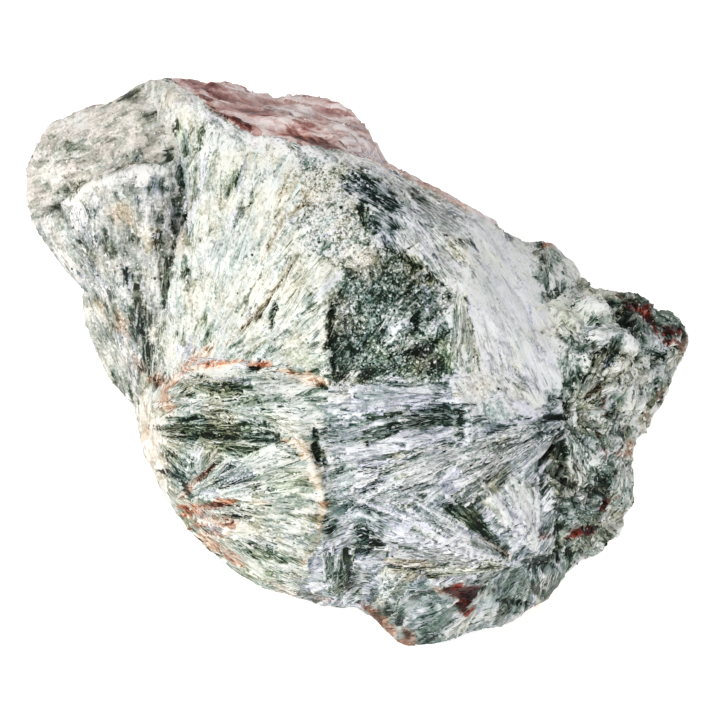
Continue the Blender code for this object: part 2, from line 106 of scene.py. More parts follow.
def storeNumbers(mesh, name, values, domain="POINT"):
    values = np.asarray(values, np.float32)
    isVector = values.ndim == 2
    layer = mesh.attributes.new(name, "FLOAT_VECTOR" if isVector else "FLOAT", domain)
    layer.data.foreach_set("vector" if isVector else "value", np.ascontiguousarray(values).ravel())


def linked(made):
    bpy.context.scene.collection.objects.link(made)
    return made


def joinedMesh(name, points, triangles):
    mesh = bpy.data.meshes.new(name)
    mesh.vertices.add(len(points))
    mesh.loops.add(triangles.size)
    mesh.polygons.add(len(triangles))
    mesh.vertices.foreach_set("co", np.ascontiguousarray(points, np.float32).ravel())
    mesh.loops.foreach_set("vertex_index", np.ascontiguousarray(triangles, np.int32).ravel())
    mesh.polygons.foreach_set("loop_start", np.arange(0, triangles.size, 3, dtype=np.int32))
    mesh.update(calc_edges=True)
    return linked(bpy.data.objects.new(name, mesh))


# Chance that comes out the same each run

def chance(cells, seed):   # a number from 0 to 1 for each whole cell
    cells = cells.astype(np.int64)
    key = (cells[:, 0] * 73856093) ^ (cells[:, 1] * 19349663) ^ (cells[:, 2] * 83492791)
    key = ((key ^ (seed * 40503 + 977)) & 0xffffffff).astype(np.uint64)
    for shift, factor in ((15, 2246822519), (13, 3266489917), (16, 668265263)):
        key = ((key ^ (key >> np.uint64(shift))) * np.uint64(factor)) & np.uint64(0xffffffff)
    return (key >> np.uint64(8)).astype(np.float64) / 16777215


def columns(*values):
    shape = np.broadcast(*values).shape
    return np.stack([np.broadcast_to(value, shape) for value in values], axis=1)


def softNoise(places, seed):   # from -1 to 1
    base = np.floor(places)
    part = places - base
    part = part * part * (3 - 2 * part)
    total = np.zeros(len(places))
    for corner in np.ndindex(2, 2, 2):
        weight = np.prod(np.where(corner, part, 1 - part), axis=1)
        total += weight * chance(base + corner, seed)
    return total * 2 - 1


def roughNoise(places, seed, layers, shift=7.3, gain=1.3):   # each layer is half as wide and half as strong
    total = 0
    for layer in range(layers):
        total = total + softNoise(places * 2 ** layer + layer * shift, seed + layer) / 2 ** layer
    return total / (2 - 0.5 ** (layers - 1)) * gain


def nearestChip(places, seed):   # the way from the nearest chip's middle, and that chip's own number
    base = np.floor(places)
    nearest = np.full(len(places), np.inf)
    middle = np.zeros_like(places)
    number = np.zeros(len(places))
    for corner in np.ndindex(3, 3, 3):
        cell = base + corner - 1
        spot = cell + columns(chance(cell, seed), chance(cell, seed + 1), chance(cell, seed + 2))
        gap = np.sum((spot - places) ** 2, axis=1)
        nearer = gap < nearest
        nearest = np.where(nearer, gap, nearest)
        middle[nearer] = spot[nearer]
        number = np.where(nearer, chance(cell, seed + 3), number)
    return places - middle, number


def smoothStep(value, low, high):
    share = np.clip((value - low) / (high - low), 0, 1)
    return share * share * (3 - 2 * share)


# Every pattern of chance below: how often it repeats per mm (all ways alike, or along the fibres, across them
# and from fan to fan), its seed, and its layers, of which a soft pattern has none
patterns = dict(
    groundEdge=(0.8, 11, 0), fineGroundEdge=(2.9, 13, 0), blend=(1.7, 45, 0), shownEdge=(0.5, 41, 0),
    hiddenEdge=(0.22, 31, 3), bladeSide=((0.22, 0.7, 3.7), 3, 0), fanSide=((0.5, 1, 1), 22, 0),
    strokeEdge=((0.45, 2.2, 5.1), 43, 0), fineStrokeEdge=(1.3, 44, 0), wideTone=(0.33, 53, 3),
    rindTone=(0.75, 57, 3), fineRindTone=(2.3, 58, 2), crustTone=((0.07, 0.6, 0), 59, 3),
    crustPale=((0.09, 0.9, 7), 60, 3), dirt=(0.13, 51, 3), tanDirt=(0.2, 55, 3),
    streak=((0.2, 2.2, 3.1), 61, 0), fineStreak=((0.4, 4.4, 1.7), 62, 0), grain=(1.5, 63, 3),
    rindLumps=(0.45, 66, 3), rindGrain=(2.0, 67, 2), crustLayers=((0.09, 1.3, 0), 68, 0),
    crustGrain=(1.2, 69, 3))
chanceSeeds = dict(bladeReach=21, bladeTone=5, chipTilt=71, facet=75, facetTilt=76)


def pattern(name, *places, shift=0):
    scales, seed, layers = patterns[name]
    if len(places) == 1:
        spots = places[0] * scales
    else:
        spots = columns(*(place * scale for place, scale in zip(places, scales)))
    return roughNoise(spots, seed + shift, layers) if layers else softNoise(spots, seed + shift)


def eachWay(name, points, shifts):
    return columns(*(pattern(name, points, shift=shift) for shift in shifts))


# The grounds of the broken face, from the lowest layer to the highest: an outline and the point from which
# the fibres run (across, up). tone is how pale the ground is, from 0 to 1, streak how strongly it is
# streaked, and speck how grainy it is. lilac, rind and crust say how much of each finish it has, crumb how
# broken it is, and loose how far its small fans turn away from their ground.
grounds = {
    "upper left lobe": dict(
        outline=[(-36, 10), (-36, 31), (-20, 31), (-19.2, 28.2), (-17, 27), (-17.2, 25), (-18, 21),
                 (-18.4, 19.4), (-21, 19.7), (-25, 18.8), (-28.5, 17), (-31.5, 14.7)],
        root=(-81, -3.4), tone=0.68, streak=0.22, speck=0.26, rind=0.9),
    "shoulder top": dict(
        outline=[(-21, 28.8), (-17, 27.6), (-13.5, 24.2), (-16, 23.2), (-19.5, 23.5), (-21, 25.5)],
        root=(-19, -6), tone=0.78, streak=0.25, speck=0.12, rind=0.5),
    "wedge": dict(
        outline=[(-31.5, 14.7), (-30, 15.5), (-28.5, 17), (-27, 18), (-25, 18.8), (-23, 19.3), (-21, 19.7),
                 (-17.9, 19.2), (-18, 16), (-18.2, 13), (-18.8, 10.5), (-19.4, 8), (-19.6, 6), (-20.2, 1.5),
                 (-20, -1.2), (-21, -3.4), (-24.8, 1.5), (-28, 6.8), (-30, 9.8), (-33, 12.5)],
        root=(-21, -4.5), tone=0.66, streak=0.26, speck=0.26, lilac=0.2, rind=0.5),
    "back step": dict(
        outline=[(-28.4, 7.2), (-24.8, 4.8), (-22, 0.8), (-20.8, -2.5), (-22, -5.5), (-24.2, -3.4), (-27, 0),
                 (-29, 4)],
        root=(-21, -12), tone=0.60, streak=0.25, speck=0.22, rind=0.5),
    "left rim": dict(
        outline=[(-21.5, -2.4), (-17.5, -1.2), (-18.8, -4.5), (-19.4, -8), (-19.3, -11), (-17.8, -14),
                 (-17.4, -17), (-21, -15), (-24, -8), (-23.5, -4)],
        root=(-14, 14), tone=0.80, streak=0.22, speck=0.18, rind=0.55),
    "pale plate": dict(
        outline=[(-17.4, 26.8), (-15.5, 26), (-13.5, 24.2), (-11.5, 22.9), (-8.5, 22.3), (-6, 21.5), (-6, 18),
                 (-6, 15.5), (-9.8, 9.8), (-9.8, 6), (-12, 3), (-13.5, 1.5), (-9, -0.2), (-14.5, -0.2),
                 (-17.5, -0.8), (-19.5, -1.8), (-20.2, 1.5), (-19.6, 6), (-18.8, 10.5), (-17, 17),
                 (-17.8, 21), (-18.2, 25)],
        root=(-19, -6), tone=0.84, streak=0.34, speck=0.24),
    "plate by the step": dict(
        outline=[(-5.5, 15.5), (-6, 10.5), (-1.5, 9.8), (-2.7, 7), (-3.2, 5), (-3, -2.6), (-9.8, -0.2),
                 (-13.5, 1.5), (-9.8, 5), (-9.8, 9.8)],
        root=(-19, -6), tone=0.80, streak=0.5, speck=0.22),
    "granular shoulder": dict(
        outline=[(-6, 21.5), (-2, 20.8), (0.2, 19.5), (-2, 18.2), (-0.8, 16), (1.2, 13.5), (2.6, 10.9),
                 (1.4, 9.4), (-1.5, 9.3), (-6, 10.5), (-6, 15.5)],
        root=(-19, -6), tone=0.78, streak=0.45, speck=0.58, lilac=0.25, loose=1.0),
    "grey green upper": dict(
        outline=[(-1.5, 20.6), (3.8, 18.8), (8, 16.5), (10.2, 14.5), (11, 11), (11.5, 7), (9.5, 6), (4, 10.2),
                 (1.5, 11.8), (3.5, 13), (4.5, 16), (2, 18.6)],
        root=(-2, 22), tone=0.75, streak=0.75, speck=0.22, lilac=0.6),
    "dark middle": dict(
        outline=[(-3.2, 6), (-2.7, 7.5), (-1.5, 9.5), (1.4, 9.4), (2.6, 10.8), (4, 10.4), (6.6, 9), (8.6, 7),
                 (9.3, 5), (9.1, 2), (9.4, -0.5), (8.8, -2), (-3, -2.8)],
        root=(-11, -12), tone=0.37, streak=0.42, speck=0.54, lilac=0.3, loose=0.45),
    "pale plane": dict(
        outline=[(8, 16.5), (13, 13.6), (16.2, 12), (17.5, 11), (18, 7.5), (19.2, 5), (19.8, 1), (20, -2.5),
                 (18, -5.2), (14, -6.5), (11.2, -5.2), (9.4, -0.5), (9.1, 2), (9.3, 5), (8.6, 7), (10.6, 8.5),
                 (11, 11), (10.2, 14.5)],
        root=(4, 23), tone=1.04, streak=0.24, speck=0.16, lilac=0.55),
    "granular block": dict(
        outline=[(8.7, -2.5), (10.5, -1.5), (14, -0.8), (18, -4), (17, -6.5), (14, -8), (10.2, -8),
                 (10.2, -5.2), (9, -4.5)],
        root=(4, 8), tone=0.82, streak=0.40, speck=0.25, lilac=0.4, loose=0.7),
    "right crumble": dict(
        outline=[(17, 14), (20, 14), (24, 9), (36, 8), (36, -2), (30, -8), (28, -12), (28, -22), (20, -24),
                 (19.6, -18), (18.5, -14), (18.5, -11), (20.5, -7), (20, -2.5), (19.8, 1), (19.2, 5),
                 (18, 7.5)],
        root=(16, -30), tone=0.64, streak=0.5, speck=0.3, crumb=1),
    "left fans": dict(
        outline=[(-19.5, -1.8), (-9, -0.5), (-3, -2.5), (-3.8, -8), (-3, -14), (-4, -17), (-6, -24),
                 (-14, -24), (-19, -18), (-19, -14), (-19.4, -10), (-19.2, -6)],
        root=(-30, -8), tone=0.62, streak=0.7, speck=0.1),
    "middle fans": dict(
        outline=[(-3, -2.4), (9, -1.8), (8.6, -4.5), (10.2, -5.5), (10.5, -8), (18, -5), (20.5, -6),
                 (18.5, -12), (19.5, -17), (17.5, -19.8), (12, -23), (4, -23), (1, -26), (-6, -25), (-6, -21),
                 (-3.8, -17), (-2.8, -14.4), (-4.4, -10), (-3.6, -8)],
        root=(26, -3), tone=0.65, streak=0.62, speck=0.12, lilac=0.75),
    "grey foot": dict(
        outline=[(0, -25), (3, -23), (6, -22.7), (12, -22.5), (16, -20.2), (17.7, -19.6), (20.5, -19),
                 (21, -24), (17, -29), (3, -31)],
        root=(19, -14), tone=0.54, streak=0.36, speck=0.05, lilac=0.45),
    "ridge rim": dict(
        outline=[(-18.6, 27.8), (-15.5, 26.2), (-13.5, 24.6), (-11.5, 23.3), (-8.5, 22.7), (-5.5, 21.9),
                 (-2, 21.2), (1, 20.4), (4, 19.1), (7, 17.4), (10, 15.6), (10, 14.5), (6.8, 16.3), (3.6, 18),
                 (0.5, 19.2), (-2.5, 19.7), (-6, 20.4), (-9, 21), (-11.6, 21.5), (-13.8, 23), (-15.6, 24.8),
                 (-17, 25.4), (-18.4, 25.8)],
        root=(-60, 60), tone=0.83, streak=0.24, speck=0.30, lilac=0.4, rind=0.6),
    "crust": dict(
        outline=[(-21, 30), (-18.2, 27.6), (-15.5, 25.8), (-13.5, 24.2), (-11.5, 22.9), (-8.5, 22.3),
                 (-5.5, 21.5), (-2, 20.8), (1, 20), (4, 18.7), (7, 17), (10, 15.2), (13, 13.5), (17, 13.5),
                 (8, 20), (2, 30)],
        root=(-70, 42), tone=0.77, streak=0.56, speck=0.10, crust=1),
}

# The fans of fibres over those grounds, in the order that they overlap: the point that a fan spreads from,
# the way it points in degrees, half its spread, where its blades start and end, how many it has, its tone,
# how strongly it is streaked, how lilac it is, how far it stands out in mm and, at the crumbled right side,
# how crumbled it is.
fans = {
    "smooth knob": ((18.4, 12.4), -62, 26, 0.1, 6.5, 4, 0.72, 0.40, 0.2, 0.10, 0.1),
    "cream blades": ((27.0, 8.0), 214, 17, 1.5, 9.0, 5, 0.80, 0.45, -0.2, 0.24, 0.3),
    "teal blades": ((28.6, 4.0), 199, 13, 1.5, 8.6, 5, 0.76, 0.50, 0.5, 0.26, 0.3),
    "blades up from the point": ((20.6, -5.4), 52, 15, 0.8, 9.5, 5, 0.56, 0.85, 0.2, 0.28, 0.25),
    "blades right of the point": ((20.2, -5.6), 18, 15, 1.0, 8.5, 5, 0.62, 0.75, 0.3, 0.28, 0.25),
    "dark blades by the point": ((20.4, -5.8), -22, 13, 0.8, 7.0, 4, 0.40, 0.80, 0.0, 0.24, 0.25),
    "blades down from the point": ((20.4, -6.2), -66, 18, 0.6, 8.0, 5, 0.54, 0.85, 0.2, 0.26, 0.25),
    "grey lump": ((27.5, -1.0), 248, 22, 0.8, 6.5, 5, 0.66, 0.45, 0.5, 0.22, 0.4),
    "right edge's blades": ((26.4, -9.0), 262, 16, 0.4, 6.8, 4, 0.58, 0.55, 0.1, 0.22, 0.3),
    "tip's blades": ((32.6, 1.0), 232, 20, 0.6, 6.0, 4, 0.62, 0.55, 0.2, 0.22, 0.4),
    "teeth's blades": ((21.4, -14.6), -52, 22, 0.5, 7.5, 5, 0.48, 0.70, 0.1, 0.26, 0.3),
    "tooth": ((20.7, -21.8), 78, 16, 0.1, 4.2, 3, 0.46, 0.60, -0.3, 0.14, 0.1),
    "under the seam": ((-18.4, -1.0), -9, 11, 0.5, 15.5, 5, 0.74, 0.70, 0.1, 0.12),
    "zigzag": ((-18.2, -2.0), -14, 12, 0.4, 9.0, 5, 0.52, 0.85, 0.0, 0.10),
    "grey green": ((-20.5, -4.0), -7, 9, 1.5, 16.5, 5, 0.66, 0.75, 0.1, 0.14),
    "dark band": ((-24.0, -6.6), -2.5, 4, 3.0, 17.5, 4, 0.27, 1.00, -0.4, 0.05),
    "dark band's lower edge": ((-22.0, -7.2), -8, 8, 2.5, 16.5, 5, 0.42, 0.95, 0.0, 0.10),
    "white corner": ((-16.0, -12.4), 21, 9, 4.5, 10.5, 5, 0.86, 0.45, 0.0, 0.16),
    "chevrons down": ((-20.2, -8.2), -38, 17, 0.4, 6.5, 6, 0.68, 0.80, 0.0, 0.16),
    "chevrons up": ((-18.8, -14.2), 46, 20, 0.5, 8.0, 6, 0.67, 0.75, 0.1, 0.16),
    "white spread": ((-18.4, -14.2), 17, 14, 1.5, 15.5, 7, 0.74, 0.70, 0.0, 0.18),
    "white floor": ((-18.2, -14.8), 3, 8, 0.8, 15.0, 6, 0.74, 0.60, 0.0, 0.14),
    "pale below": ((-18.0, -15.6), -10, 8, 0.6, 14.5, 5, 0.72, 0.60, 0.0, 0.12),
    "lower left rim": ((-17.6, -16.6), -25, 9, 0.4, 13.5, 5, 0.78, 0.55, 0.0, 0.14),
    "upright greens": ((-2.4, -26.4), 88, 15, 2.0, 9.0, 7, 0.48, 0.85, 0.1, 0.12),
    "leaning greens": ((1.2, -25.4), 60, 18, 1.0, 8.0, 6, 0.62, 0.70, 0.2, 0.12),
    "lime edge": ((10.0, 10.0), -89, 9, 3.5, 12.5, 4, 0.68, 0.80, -0.5, 0.10),
    "lilac band": ((24.0, -3.6), 181, 4, 14.0, 28.0, 4, 0.68, 0.65, 0.9, 0.05),
    "great feather's dark top": ((23.0, -4.6), 186, 5, 12.5, 23.5, 5, 0.46, 0.70, 0.5, 0.16),
    "great feather's lilac side": ((21.8, -5.0), 192, 5, 5.0, 26.0, 6, 0.70, 0.70, 1.0, 0.20),
    "great feather's pale side": ((21.4, -5.2), 199, 6, 3.0, 24.5, 7, 0.65, 0.80, 0.5, 0.22),
    "great feather's lower side": ((20.8, -6.0), 212, 9, 0.8, 17.5, 8, 0.58, 0.90, 0.55, 0.22),
    "upright feather": ((17.8, -19.6), 114, 24, 0.5, 9.5, 11, 0.84, 0.36, 0.45, 0.24),
    "dark valley": ((14.8, -19.2), 139, 12, 1.0, 9.0, 6, 0.42, 0.75, 0.0, 0.06),
    "lower feather's upper side": ((16.0, -20.2), 153, 6, 0.5, 14.5, 5, 0.72, 0.75, 0.6, 0.18),
    "lower feather": ((16.2, -20.4), 164, 7, 0.6, 18.5, 7, 0.85, 0.50, 0.8, 0.26),
    "lower feather's foot": ((16.0, -20.5), 175, 7, 0.4, 18.0, 7, 0.68, 0.85, 0.6, 0.20),
    "tan streaks": ((15.5, -20.6), 184, 5, 0.5, 13.0, 5, 0.58, 0.95, 0.0, 0.12),
    "foot's left arcs": ((16.0, -20.0), 214, 14, 5.0, 15.0, 6, 0.51, 0.38, 0.45, 0.14),
    "foot's right arcs": ((18.5, -17.5), 243, 16, 3.5, 11.0, 6, 0.48, 0.40, 0.4, 0.14),
}

# What is drawn over the fans, as strokes: a strength, a half width in mm, and the points that the stroke runs
# through (across, up, across, up and so on). Cracks also cut into the stone, and their dark is partly painted
# shade: in the crevice, under the ledge and beside the steps.
cracksWithPaintedShade = [
    (0.62, 0.65, -18.2, 20.2, -17.9, 17.5, -18, 14.5, -18.4, 12),
    (0.6, 0.45, -18.4, 12, -19, 9.8, -19.4, 8, -19.6, 5.8), (0.5, 0.25, -19.6, 6, -19.5, 4.5, -20.2, 1.5),
    (0.3, 0.4, -32.2, 14.2, -30, 15.7, -28, 17.3, -26.5, 18.3, -24.5, 18.9, -22.5, 19.8, -18, 20),
    (0.4, 0.25, -21.7, 6.5, -21.4, 4, -21.6, 1.5), (0.35, 0.2, -21, 13.5, -20.2, 10.5, -19.5, 7),
    (0.6, 0.3, -10.6, 3.6, -8.6, 6.8), (0.75, 0.35, -8.4, 6, -8.8, 4.5, -8.9, 3),
    (0.4, 0.16, -13.4, 1.6, -9.8, 5, -6.1, 10.4), (0.4, 0.2, -9.9, 9.8, -7.6, 14.2, -5.4, 15.6, -3.6, 14.9),
    (1.1, 0.25, -11.3, -0.8, -9.9, -1), (0.45, 0.2, -17, -1.6, -14.5, -1.4), (0.4, 0.2, -9.8, -1.7, -6, -2.1),
    (0.6, 0.3, -4.8, -2.4, -3, -2.8), (0.55, 0.25, -19.3, -5.8, -17, -5.9, -13.8, -6.1),
    (0.6, 0.3, -19.6, -7.7, -16, -7.6, -11, -8, -6.8, -8.1), (0.9, 0.45, -4.5, -6.9, -4.4, -8.2, -4.2, -10),
    (0.4, 0.2, -4.2, -8, -3.2, -6.5), (0.35, 0.2, -4, -9.2, -3, -11),
    (0.5, 0.2, -2.9, 6.4, -2.9, 4, -2.8, 1.5, -2.6, -1.8), (0.5, 0.4, 5.7, 4.8, 5.6, 2.6),
    (0.4, 0.3, 6, 3.8, 7.2, 4.2), (0.5, 0.45, 7.8, 2, 6.5, 1, 4.2, 0.4), (0.45, 0.45, 8.7, -1.8, 8.4, -3.6),
    (0.5, 0.5, 9.6, -4.5, 10.1, -6, 10, -8.2), (0.4, 0.15, 10.4, 6.2, 12, 5), (0.3, 0.12, 12.4, 5.6, 15.5, 4),
    (0.6, 0.4, 17, -6.4, 18.5, -6, 20.6, -5.7), (0.65, 0.5, 20.6, -6.7, 19.4, -8.6, 18.5, -9.8, 17.5, -11.2),
    (0.4, 0.35, 15.6, -10.7, 13.5, -12.8, 11.2, -14.4),
    (0.3, 0.4, 8, -14.3, 9.8, -15.2, 12, -17.3, 14.5, -19.6), (0.6, 0.35, 19.7, -15.8, 19.8, -20.2),
    (0.5, 0.35, 16, -20.2, 17.7, -20, 19.6, -19.6), (0.45, 0.25, 5, -23.2, 8, -23.4),
    (0.4, 0.25, 12, -22.6, 15.5, -20.8), (0.5, 0.25, 13.7, -24, 17, -24.4),
    (0.55, 0.4, 24.3, 6.6, 26.2, 4.5, 28, 1.5), (0.5, 0.4, 27.4, 0.5, 28.5, -0.2),
    (0.5, 0.25, 24.7, -1.6, 22.4, -3.8), (0.4, 0.3, 29.5, -2.6, 30.2, -2),
    (0.4, 0.3, 20, -12.2, 23, -12.7, 24.6, -13.8), (0.45, 0.4, 23.5, -11, 24.6, -12.8),
    (0.4, 0.3, 20.2, -14.5, 19.6, -16), (0.35, 0.15, 4.8, 17, 7, 15.2), (0.3, 0.15, 2.4, 12.4, 4, 9.8),
    (0.3, 0.15, -2, 14.8, -0.4, 14.4), (0.35, 0.2, -2, 9.8, -0.8, 8), (0.3, 0.2, 1.2, 12, 2, 10.2),
]
# dark patches: partly the stone's own dark green, partly painted shadow in the crevice and pockets, under the
# ledge and beside the steps and blocks
darkPatchesAndPaintedShadows = [
    (0.22, 0.7, -30.8, 15, -29.4, 16.8, -27.5, 17.8), (0.18, 0.6, -25, 19.4, -23.2, 20.2),
    (0.2, 0.7, -29.2, 20.4, -27.5, 21), (0.16, 0.6, -26, 22, -23, 23.2), (0.15, 0.6, -21, 21, -20.2, 22),
    (0.45, 0.5, -19.2, 20, -18.8, 21.2), (0.3, 0.4, -18.8, 22, -18.2, 24), (0.4, 0.4, -20.4, 24.8, -20, 24.2),
    (0.42, 0.35, -24.2, 26, -22, 27), (0.2, 0.4, -21.8, 24.8, -20.8, 23.8),
    (0.36, 0.45, -27.4, 14.4, -26, 15.2), (0.3, 0.45, -22, 16.8, -20.4, 17.4),
    (0.22, 0.45, -20.4, 17.5, -19.2, 17), (0.2, 0.5, -20.8, 14.8, -19.6, 14.4),
    (0.26, 0.7, -20, 12.5, -19.4, 9.8), (0.16, 0.9, -28.8, 11.5, -26.5, 12),
    (0.14, 0.8, -25.5, 13.2, -24.5, 10.5), (0.2, 0.5, -23.2, 11.7, -21.8, 12), (0.3, 0.7, -24, 7.6, -22, 8.4),
    (0.36, 0.45, -25.5, 6.8, -24.4, 6.4), (0.42, 0.8, -22, 6, -22.2, 2), (0.42, 1, -21.2, 1.5, -20.8, -1.2),
    (0.3, 0.5, -20.5, -1.5, -20.2, -2.8), (0.2, 0.7, -24.8, 3.5, -25.6, 1.5),
    (0.22, 0.6, -24.8, -1.2, -23.5, -3.5), (0.2, 0.4, -26.8, 7, -24, 4), (0.3, 0.3, -15.5, 23.8, -16, 21),
    (0.3, 0.35, -17.2, 23, -17.6, 20), (0.22, 0.3, -16.4, 19.5, -16.6, 16),
    (0.16, 0.5, -14.8, 21, -15.2, 18.5), (0.22, 0.5, -12.2, 19, -13.2, 16.5),
    (0.24, 0.4, -9.8, 18.5, -11, 15.5), (0.3, 0.35, -7.4, 17.6, -8.5, 14.2),
    (0.26, 0.3, -16.4, 12.2, -15.6, 11.8), (0.22, 0.5, -18, 8.2, -16.8, 9), (0.28, 0.3, -15.5, 4.8, -15.2, 1),
    (0.18, 0.4, -18.5, 3, -17, 1), (0.22, 0.4, -5, 7.5, -4.8, 5), (0.24, 0.3, -4.4, 3, -4.6, 0.5),
    (0.14, 0.6, -13, 1.5, -7, 1), (0.18, 0.3, -7, -1.2, -3.5, -1.2), (0.15, 0.6, -7.4, 21.5, -6, 21),
    (0.25, 0.5, -4.5, 12, -3, 11), (0.2, 0.4, -1, 9, -2, 9.8), (0.2, 0.3, -3.5, 15.5, -1, 14.8),
    (0.18, 0.6, -5.5, 19, -3.5, 19.5), (0.2, 0.4, 0, 12, 1.5, 9.8),
    (0.5, 0.9, -1.8, 18.1, 0.2, 17.4, 1.8, 17.8), (0.5, 0.9, 0.4, 17, 2, 15.8, 3.8, 15.4),
    (0.55, 0.9, 0.9, 16.2, 1.4, 14.6, 1.6, 12.8), (0.35, 0.5, 2, 13.8, 4, 13.1),
    (0.28, 0.4, 4.8, 17, 7, 15.2), (0.22, 0.3, 8.5, 14.8, 9.6, 14), (0.24, 0.4, 7.6, 11.4, 8.2, 10.8),
    (0.26, 0.4, 9.2, 11.8, 10.2, 10.2), (0.2, 0.4, 2.4, 11.5, 3.2, 10.5), (0.2, 0.5, 6, 13.2, 6.8, 13.8),
    (0.6, 0.35, 4, 10.3, 6.5, 9, 8.5, 7.4), (0.5, 0.2, 8.6, 7.2, 9.2, 6.2), (0.25, 0.8, 2.2, 6, 5.8, 6),
    (0.2, 0.6, 1.2, 6.8, 2, 6.4), (0.15, 0.8, -1, 3, 0, 1), (0.25, 0.6, 7.2, -0.2, 8.8, -1.2),
    (0.2, 0.5, 2, 3.8, 2.4, 1.5), (0.22, 0.9, -2, 6.4, -1.9, 2, -1.7, -1.6), (0.16, 1.1, 11.6, 2, 14, -2),
    (0.2, 0.8, 14.6, -0.6, 17.4, -3.2), (0.12, 0.6, 17.2, 2, 18.4, -2), (0.3, 0.4, -2, -1.8, 4, -0.6),
    (0.3, 0.3, -13.5, 27.1, -10.5, 27), (0.2, 0.2, -15.8, 26.6, -13.8, 25.8, -11, 25.9),
    (0.22, 0.3, -12.6, 24, -10.8, 23.1), (0.2, 0.3, -7.6, 23, -6, 23.3, -5, 23.3, -3.9, 22.4),
    (0.18, 0.6, -4, 22.2, -1.5, 21.3, 0.2, 20.4), (0.3, 0.5, -16.5, 27, -14.7, 25.3, -12.5, 23.9, -11, 23.2),
    (0.34, 0.55, -9, 23.1, -6.3, 22.4, -3.9, 21.8, -1.4, 20.9),
    (0.28, 0.4, -17.8, 27.9, -14.5, 27.4, -10.8, 27.2), (0.22, 0.25, -15, 26.5, -12, 25.9, -8, 25.3),
    (0.22, 0.25, -13, 25.2, -8.5, 24.4, -6, 24.1), (0.24, 0.6, 0, 25.8, 1, 24.2, 1.4, 22.4),
    (0.14, 1.5, -3, 25.6, 0.6, 23.6), (0.2, 1.8, 21.5, -10.5, 23.5, -14.5), (0.3, 0.4, -1.5, 24.6, -1, 23.6),
    (0.2, 0.3, -3.4, 23.9, -2.2, 23.9), (0.12, 0.4, -15.5, 26.8, -12.5, 24.8), (0.24, 0.8, 2.5, -6, 3.8, -7),
    (0.2, 1.4, 5, -4.8, 9, -5.8), (0.3, 0.8, 1.1, -10.2, 1.4, -12.8), (0.26, 0.4, -2.5, -7, 0, -5.8),
    (0.24, 0.4, -2.5, -11, -1.5, -10.6), (0.22, 0.2, -3, -14.1, 0, -14.8, 3.8, -16),
    (0.3, 0.3, 7, -4.5, 8.5, -3.8), (0.2, 0.6, 8, -9, 9.2, -8.2), (0.2, 0.4, 4, -11, 6.5, -8.5),
    (0.35, 0.5, 8.5, -14.5, 10.5, -15.8), (0.3, 0.5, 11, -14, 12.5, -17),
    (0.22, 0.6, 12.5, -17.5, 14.8, -19.6), (0.5, 1.2, 0.2, -17, 1.8, -18.5),
    (0.4, 0.7, -3.4, -15.8, -3, -17.2), (0.3, 0.5, -0.8, -21, -1, -23.8), (0.3, 0.4, -2, -20, -1.7, -23),
    (0.25, 0.4, 0.6, -21.5, 1.2, -23), (0.22, 0.3, 2.5, -20.5, 8, -20.8), (0.22, 0.25, 6, -21.4, 11.5, -22),
    (0.2, 0.3, 3, -22.5, 3.6, -24), (0.25, 0.7, 18.5, -9.5, 20.8, -8.8), (0.2, 0.8, 18, -11.5, 18.5, -14),
    (0.3, 0.7, 2.8, -24.4, 4, -26.2), (0.25, 0.7, 13, -23.8, 15, -25.2), (0.3, 0.6, 16.5, -20.6, 19, -20.2),
    (0.2, 0.6, 17, -23, 18.5, -22.5), (0.2, 0.5, 7.5, -25, 6.5, -28),
    (0.2, 0.6, -16, -2.6, -13.5, -2.4, -10.2, -3.8), (0.22, 0.4, -17.5, -2.8, -16.4, -4.2),
    (0.2, 0.8, -15.5, -5, -12.5, -5.5), (0.35, 0.4, -9.8, -4.5, -8.2, -6.5),
    (0.2, 0.4, -18.5, -6.6, -12, -6.8, -7, -7.4), (0.22, 0.5, -14.5, -8.5, -9.8, -9.2),
    (0.28, 0.4, -19.5, -9.2, -16.5, -10), (0.3, 0.3, -16, -12, -14.6, -10.6),
    (0.18, 1.2, -14, -11.8, -11, -11), (0.35, 0.5, -11.5, -12.8, -9.8, -12.4),
    (0.25, 0.6, -13.2, -15.2, -10.4, -15), (0.2, 0.6, -11.5, -18.2, -8.8, -18.8),
    (0.35, 0.35, -12.2, -18.8, -9.8, -19.6, -5.6, -20.2), (0.22, 0.3, -9.8, -20.4, -8.5, -21.5),
    (0.2, 0.3, -7.5, -21.5, -6.4, -20.8), (0.3, 0.6, 18.3, 10, 19.2, 9), (0.15, 0.8, 20.5, 7.8, 21.5, 7),
    (0.3, 0.5, 20.8, 5.8, 21.2, 4.8), (0.22, 0.6, 20, 3.5, 20.8, 2.2), (0.28, 0.6, 22.5, 4.5, 24, 3.5),
    (0.35, 0.6, 21, -1.2, 22, -1.6), (0.2, 0.8, 21.5, 1, 25.5, 0.8), (0.3, 0.7, 25.2, 5.6, 28.5, 2),
    (0.3, 0.8, 28.8, 0.8, 30.5, -0.2), (0.35, 0.4, 29.5, -2.3, 30.2, -1.8), (0.3, 0.7, 23, -3.2, 24.4, -4.4),
    (0.25, 0.7, 18.8, -3.2, 20.2, -3.8), (0.25, 0.6, 26, -1.5, 28, -1), (0.3, 0.5, 25.2, -4.5, 25.8, -6),
    (0.3, 0.6, 27, -7, 26, -7.6), (0.35, 0.8, 20, -9, 21.2, -9.5), (0.35, 0.8, 21, -12.8, 23.8, -13),
    (0.4, 0.6, 23.8, -11.8, 24.6, -12.8), (0.3, 0.8, 19.5, -14.5, 20.5, -15.5),
    (0.4, 0.7, 20.6, -18.5, 21.2, -20), (0.25, 0.6, 26.2, -14, 27, -14.5),
]
